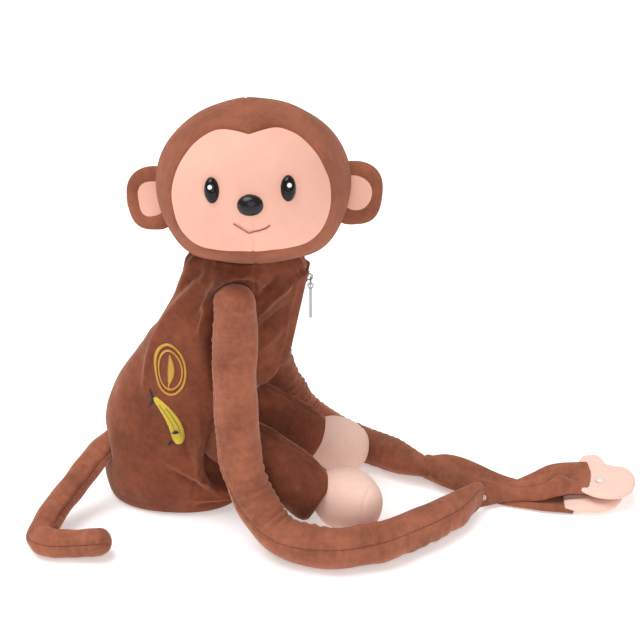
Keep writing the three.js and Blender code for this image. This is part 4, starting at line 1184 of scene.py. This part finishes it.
class MONKEY_OT_straps(bpy.types.Operator):
    """Flat unstuffed ends of the arms"""
    bl_idname = "monkey.straps"
    bl_label = "Arm ends"

    def execute(self, context):
        def right_rise(s, t):
            """A lip stands along the near part, with a steep front and a dark valley behind it."""
            lip_at = 0.80 - 0.62 * ease(s, 0.0, 0.38) + 0.16 * ease(s, 0.62, 0.85)
            high = 13 - 2.5 * ease(s, 0.1, 0.45) + 1.5 * ease(s, 0.55, 0.75)
            high = high * (1 - ease(s, 0.74, 0.90))
            front = (1 - (1 - np.clip(t / lip_at, 0, 1)) ** 2) * (t <= lip_at)
            behind = bell(t - lip_at, 0.07) * (t > lip_at)
            valley = -6.5 * bell(t - lip_at - 0.19, 0.12)
            valley = valley * ease(s, 0.12, 0.3) * (1 - ease(s, 0.78, 0.92))
            return high * (front + behind) + valley + 0.4 * np.sin(t * 17 + s * 5)

        def left_rise(s, t):
            """Puffed where it leaves the stuffed part, then nearly flat with soft ripples."""
            return 0.8 * np.sin(t * 6 + s * 4) * (1 - ease(s, 0.35, 0.5)) + 0.25 * np.sin(t * 15 + s * 8)

        plans = {
            "right": (
                [(287, -22, 4), (298, -17, 4), (311, -12, 4.5), (329, -9.5, 5), (346, -9.5, 7), (360, -9, 12),
                 (376, -9, 17), (390, -9, 19)],
                [(285, -14, 20), (297, 2, 14), (308, 12, 11), (322, 19, 11), (338, 28, 14), (354, 37, 18),
                 (370, 40, 20), (390, 40, 20)],
                right_rise, lambda s: 3.4 + 6.2 * ease(s, 0.84, 1.0), lambda s: 8, 4),
            "left": (
                [(221, 31, 15), (232, 20, 13.5), (246, 9, 11), (262, 1, 8), (281, -5, 5.5), (306, -12, 3),
                 (335, -18, 3), (352, -21, 3), (376, -22, 3.6)],
                [(224, 37, 15), (240, 41, 16.5), (254, 45, 17), (269, 46, 15), (287, 44, 10), (310, 37, 4),
                 (338, 25, 3.2), (354, 18, 3), (376, 16, 3.6)],
                left_rise, lambda s: 8 + 16 * ease(s, 0, 0.1) - 20.2 * ease(s, 0.08, 0.45) + 3.0 * ease(s, 0.9, 1.0),
                lambda s: 2.6 + 5.4 * ease(s, 0.1, 0.4), 3),
        }
        for side, (near, far, rise, thick, flatness, bow) in plans.items():
            grid = ribbon(near, far, rise, thick, flatness, bow)
            grid[..., 2] = np.maximum(grid[..., 2], 0.7)
            strap = grid_mesh(f"arm_{side}_flat_end", grid, finish_of("limb_pile"))
            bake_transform(strap)
            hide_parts(f"strap_{side}")
        return {"FINISHED"}


class MONKEY_OT_hands(bpy.types.Operator):
    """Pale mitten hands and the snap fasteners"""
    bl_idname = "monkey.hands"
    bl_label = "Hands and snaps"

    def execute(self, context):
        outlines = {
            "right": [(384, -8), (390, -13), (399, -17), (410, -18), (420, -16), (430, -8), (435, 2), (437, 14),
                      (435, 26), (429, 34), (419, 36), (411, 39), (407, 47), (402, 55), (394, 57), (386, 50), (383, 38),
                      (382, 14)],
            "left": [(369, -19), (378, -22), (392, -23), (404, -21), (415, -15), (422, -5), (425, 6), (422, 16),
                     (414, 22), (402, 26), (396, 36), (386, 42), (376, 34), (369, 14), (368, -6)],
        }
        for side, corners in outlines.items():
            low, high = box_of(f"hand_{side}")
            loop = curve_through(np.array(corners + corners[:1], float), count=181)[:-1]
            centre = loop.mean(0)
            s_top = np.sin(np.linspace(0.02, math.pi / 2, 40))
            s = np.concatenate([s_top, s_top[::-1][1:]])
            plan = centre + (loop - centre)[None] * s[:, None, None]
            half = (high[2] - low[2]) / 2
            round_edge = np.sqrt(np.clip(1 - s ** 5, 0, 1))
            sign = np.concatenate([np.ones(len(s_top)), -np.ones(len(s_top) - 1)])
            wrist = ease(plan[..., 0], plan[..., 0].min() + 4, plan[..., 0].min() + 30)
            height = (low[2] + high[2]) / 2 + (sign * round_edge * half)[:, None] * (0.62 + 0.38 * wrist)
            rays = np.sin((plan[..., 1] - centre[1]) * 0.75 + 0.6) * 0.55 * (1 - wrist) * (sign > 0)[:, None]
            dent = -1.5 * bell(np.linalg.norm(plan - np.array([403, 6]), axis=-1), 7) * (side == "right")
            grid = np.concatenate([plan, (height + rays + dent * (sign > 0)[:, None])[..., None]], -1)
            grid[..., 2] += 0.4 * lumps(grid, 30, 31)
            hand = grid_mesh(f"hand_{side}_mitten", grid, finish_of("palm_pile"))
            attach(hand, f"{side}_arm_end", "peach_velour", f"hand_{side}", fill=0.35)

        snaps = {
            "snap_cap_right_hand": ("right_arm_end", (0, 0, 1), (403, 6, 23.6)),
            "snap_socket_right_strap": ("right_arm_end", (-0.45, -0.85, 0.25), (291, -20.5, 15)),
            "snap_stud_left_strap": ("left_arm_end", (0, -0.25, 1), (271, 21, 9.4)),
        }
        for node, (body, way, place) in snaps.items():
            low, high = box_of(node)
            radius = (high - low)[0] / 2 * {"snap_cap_right_hand": 0.85}.get(node, 0.55)
            profile = np.array([(0.04, 1.3), (0.3, 1.28), (0.42, 0.9), (0.62, 0.9), (0.72, 1.5), (0.86, 1.7),
                                (0.97, 1.3), (1.0, 0.7), (0.96, 0), (0.05, -0.2)])
            if node == "snap_cap_right_hand":
                profile = np.array([(0.04, 2.2), (0.3, 2.15), (0.6, 1.9), (0.82, 1.45), (0.95, 0.9), (1, 0.4),
                                    (0.97, 0), (0.05, -0.2)])
            turn = around(48)
            axis = unit(np.array(way, float))
            across = unit(np.cross(axis, [1, 0, 0.01]))
            up = np.cross(axis, across)
            ring = np.cos(turn)[:, None] * across + np.sin(turn)[:, None] * up
            reach, rise = profile[:, 0, None, None] * radius, profile[:, 1, None, None]
            grid = np.array(place) + ring[None] * reach + axis * rise
            key = "clear_snap" if node == "snap_stud_left_strap" else "snap_shell"
            snap = grid_mesh(f"{node}_disc", grid, finish_of(key))
            attach(snap, body, "snap_plastic", node)
        return {"FINISHED"}


class MONKEY_OT_legs(bpy.types.Operator):
    """Thick stuffed legs with peach feet"""
    bl_idname = "monkey.legs"
    bl_label = "Legs and feet"

    def execute(self, context):
        sizes = settings(context)
        lump = sizes.lump / MM
        for side, leg in LEGS.items():
            hip, ankle, foot = (np.array(leg[k], float) for k in ("hip", "ankle", "foot"))
            way = unit(ankle - hip)
            route = [hip - way * 30, hip, (hip + ankle) / 2 + np.array([0, 0, 1.5]), ankle]
            length = path_length(curve_through(route, count=100))[-1]
            at, wide = stations(length, 24, 12, 1.3)
            wide = np.where(at > 0.5, 0.80 + 0.20 * wide, wide)
            centre, _, out, other = tube_frame(route, [(0, (0.3, 0, 1)), (1, (0.3, 0, 1))], at)
            theta = around(120)
            height = LEG_HALF[0] * wide * steps([(0, 1), (0.45, 1.06), (0.8, 1.02), (1, 0.96)], at)
            width = LEG_HALF[1] * wide * steps([(0, 1), (0.5, 1.04), (1, 1.0)], at)
            up = np.cos(theta)[None] * height[:, None]
            across = np.sin(theta)[None] * width[:, None]
            turn = np.minimum(theta, 2 * math.pi - theta)[None] * 24
            ridge = (2.0 * bell(turn, 1.6) - 1.3 * bell(turn - 3.4, 1.4))
            distance = (at * length)[:, None]
            ridge = ridge * (1 + 0.25 * np.sin(distance / 3.1) + 0.3 * np.sin(distance / 7.7))
            ridge = ridge * (ease(at, 0.2, 0.35) * (1 - ease(at, 0.80, 0.92)))[:, None]
            grid = centre[:, None] + out[:, None] * up[..., None] + other[:, None] * across[..., None]
            direction = unit(out[:, None] * up[..., None] + other[:, None] * across[..., None])
            hem = -1.0 * ease(at, 0.965, 1.0)[:, None]
            dents = lump * 1.2 * lumps(grid, 40, 41 + (side == "left")) + 0.5 * lumps(grid, 14, 43)
            grid = grid + direction * ((ridge + dents) * wide[:, None] + hem)[..., None]
            grid[..., 2] = np.maximum(grid[..., 2], 1)
            piece = grid_mesh(f"leg_{side}", grid, finish_of("coat_pile"))
            attach(piece, f"{side}_leg", "brown_velour", f"leg_{side}_sleeve", f"leg_{side}_stuffing", fill=0.8)

            phi = np.linspace(0.03, math.pi - 0.03, 110)[:, None]
            long = unit(np.array([way[0], way[1], way[2] * 0.45]))
            sideways = unit(np.cross([0, 0, 1], long))
            top = np.cross(long, sideways)
            wide_of = np.sin(phi) ** 0.9
            half_long, half_wide, half_tall = np.array(FOOT_HALF) * leg["size"]
            length_of = -np.cos(phi) * half_long
            ball = long * length_of[..., None]
            ball = ball + sideways * (wide_of * np.sin(theta)[None] * half_wide)[..., None]
            ball = ball + top * (wide_of * np.cos(theta)[None] * half_tall)[..., None]
            toe = ease(length_of, 0, 34)
            line = length_of - 25 * leg["size"] + 5 * np.cos(theta)[None] - 1.5 * np.sin(theta * 2)[None]
            seam = -0.55 * bell(line, 1.0) + 0.12 * bell(line - 3, 2)
            grid = foot + ball
            soft = 0.7 * lumps(grid, 38, 51 + (side == "left"))
            grid = grid + unit(ball) * (seam + soft + toe * 0.6)[..., None]
            low = grid[..., 2] < 7
            grid[..., 2] = np.where(low, np.maximum(0.5, 7 + (grid[..., 2] - 7) * 0.5), grid[..., 2])
            # The feet take the lighter painted copy of the peach velour, which offsets their shade.
            shoe = grid_mesh(f"foot_{side}_pad", grid, finish_of("foot_pile_painted_light"))
            attach(shoe, f"{side}_leg", "peach_velour", f"foot_{side}", f"foot_{side}_stuffing", fill=0.85)
        return {"FINISHED"}


class MONKEY_OT_tail(bpy.types.Operator):
    """Long tail, bent on the floor, with its sewn seam"""
    bl_idname = "monkey.tail"
    bl_label = "Tail"

    def execute(self, context):
        sizes = settings(context)
        length = path_length(curve_through(TAIL_ROUTE, count=300))[-1]
        at, wide = stations(length, 9, 12, 1.0)
        centre, _, out, other = tube_frame(TAIL_ROUTE, TAIL_SEAM, at)
        theta = around(88)
        radius = TAIL_RADIUS * wide * steps([(0, 0.95), (0.3, 0.98), (0.55, 1.0), (0.7, 1.02), (1, 0.98)], at)
        turn = np.minimum(theta, 2 * math.pi - theta)[None] * radius[:, None]
        seam = -sizes.seam_depth / MM * bell(turn, 1.3) + 0.6 * bell(turn - 3.6, 2.4)
        seam = seam * (1 - ease(at, 0.58, 0.62) * (1 - ease(at, 0.66, 0.69)))[:, None]
        direction = np.cos(theta)[None, :, None] * out[:, None] + np.sin(theta)[None, :, None] * other[:, None]
        distance = (at * length)[:, None]
        puckers = 0.35 * np.sin(distance * 2 * math.pi / 8) * bell(turn - 4, 4)
        grid = centre[:, None] + direction * (radius[:, None] + (seam + puckers) * wide[:, None])[..., None]
        grid = grid + direction * (sizes.lump / MM * 0.6 * lumps(grid, 30, 61) * wide[:, None])[..., None]
        grid[..., 2] = np.maximum(grid[..., 2], 0.5)
        tail = grid_mesh("tail", grid, finish_of("limb_pile"))
        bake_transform(tail)
        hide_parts("tail_upper_sleeve", "tail_upper_stuffing", "tail_lower_sleeve", "tail_lower_stuffing")
        for name, sewn in (("upper", (at > 0.08) & (at < 0.60)), ("lower", (at > 0.67) & (at < 0.985))):
            row = stitches(f"tail_{name}_stitches", grid[sewn, 0], out[sewn], 3.0, sizes.stitch / MM,
                           sizes.thread / MM, finish_of("seam_floss"), 0.15)
            attach(row, {"upper": "tail_base", "lower": "tail_tip"}[name], "seam_thread")
        return {"FINISHED"}


class MONKEY_OT_zip(bpy.types.Operator):
    """Zip on the chest: coils, and finishes for its metal pieces"""
    bl_idname = "monkey.zip"
    bl_label = "Zip"

    def execute(self, context):
        turns = settings(context).coil_turns
        for side, sign in (("right", -1), ("left", 1)):
            low, high = box_of(f"zip_coil_{side}")
            t = np.linspace(0, 1, turns * 14)
            start = np.array([high[0] - 0.9, sign * 0.85, high[2]])
            end = np.array([low[0] + 0.9, sign * 0.85, low[2]])
            way = unit(end - start)
            out = unit(np.cross([0, 1, 0], way))
            out = out * np.sign(out[0])
            angle = t * turns * 2 * math.pi
            loop = np.cos(angle)[:, None] * np.array([0, 0.72, 0]) + np.sin(angle)[:, None] * out * 0.8
            centre = start + (end - start) * t[:, None] + loop
            tangent = unit(np.gradient(centre, axis=0))
            first = unit(np.cross(tangent, way))
            second = np.cross(tangent, first)
            theta = around(5)
            ring = np.cos(theta)[None, :, None] * first[:, None] + np.sin(theta)[None, :, None] * second[:, None]
            coil = grid_mesh(f"zip_coil_{side}_turns", centre[:, None] + ring * 0.34, finish_of("coil_nylon"))
            attach(coil, "bag", "zip_coil_nylon", f"zip_coil_{side}")
            paint(f"zip_tape_{side}", "tape_weave")
        for node in ("zip_bottom_stop", "zip_slider", "zip_pull_ring", "zip_pull_bar"):
            paint(node, "plated_metal")
        return {"FINISHED"}


class MONKEY_PT_panel(bpy.types.Panel):
    """Lists the steps that make the monkey"""
    bl_idname = "MONKEY_PT_panel"
    bl_label = "Stuffed monkey"
    bl_space_type = "VIEW_3D"
    bl_region_type = "UI"
    bl_category = "Monkey"

    def draw(self, context):
        for operator in OPERATORS:
            self.layout.operator(operator.bl_idname)
        for group in (context.scene.monkey_sizes, context.scene.monkey_colours):
            for name in group.bl_rna.properties.keys():
                if name not in ("rna_type", "name"):
                    self.layout.prop(group, name)


OPERATORS = [
    MONKEY_OT_stage, MONKEY_OT_bag, MONKEY_OT_head, MONKEY_OT_features, MONKEY_OT_ears, MONKEY_OT_embroidery,
    MONKEY_OT_arms, MONKEY_OT_straps, MONKEY_OT_hands, MONKEY_OT_legs, MONKEY_OT_tail, MONKEY_OT_zip,
]
CLASSES = [MonkeySizes, MonkeyColours, *OPERATORS, MONKEY_PT_panel]


def register():
    for cls in CLASSES:
        bpy.utils.register_class(cls)
    bpy.types.Scene.monkey_sizes = PointerProperty(type=MonkeySizes)
    bpy.types.Scene.monkey_colours = PointerProperty(type=MonkeyColours)


def unregister():
    del bpy.types.Scene.monkey_colours
    del bpy.types.Scene.monkey_sizes
    for cls in reversed(CLASSES):
        bpy.utils.unregister_class(cls)


def main():
    register()
    for operator in OPERATORS:
        group, name = operator.bl_idname.split(".")
        getattr(getattr(bpy.ops, group), name)()


if __name__ == "__main__":
    main()
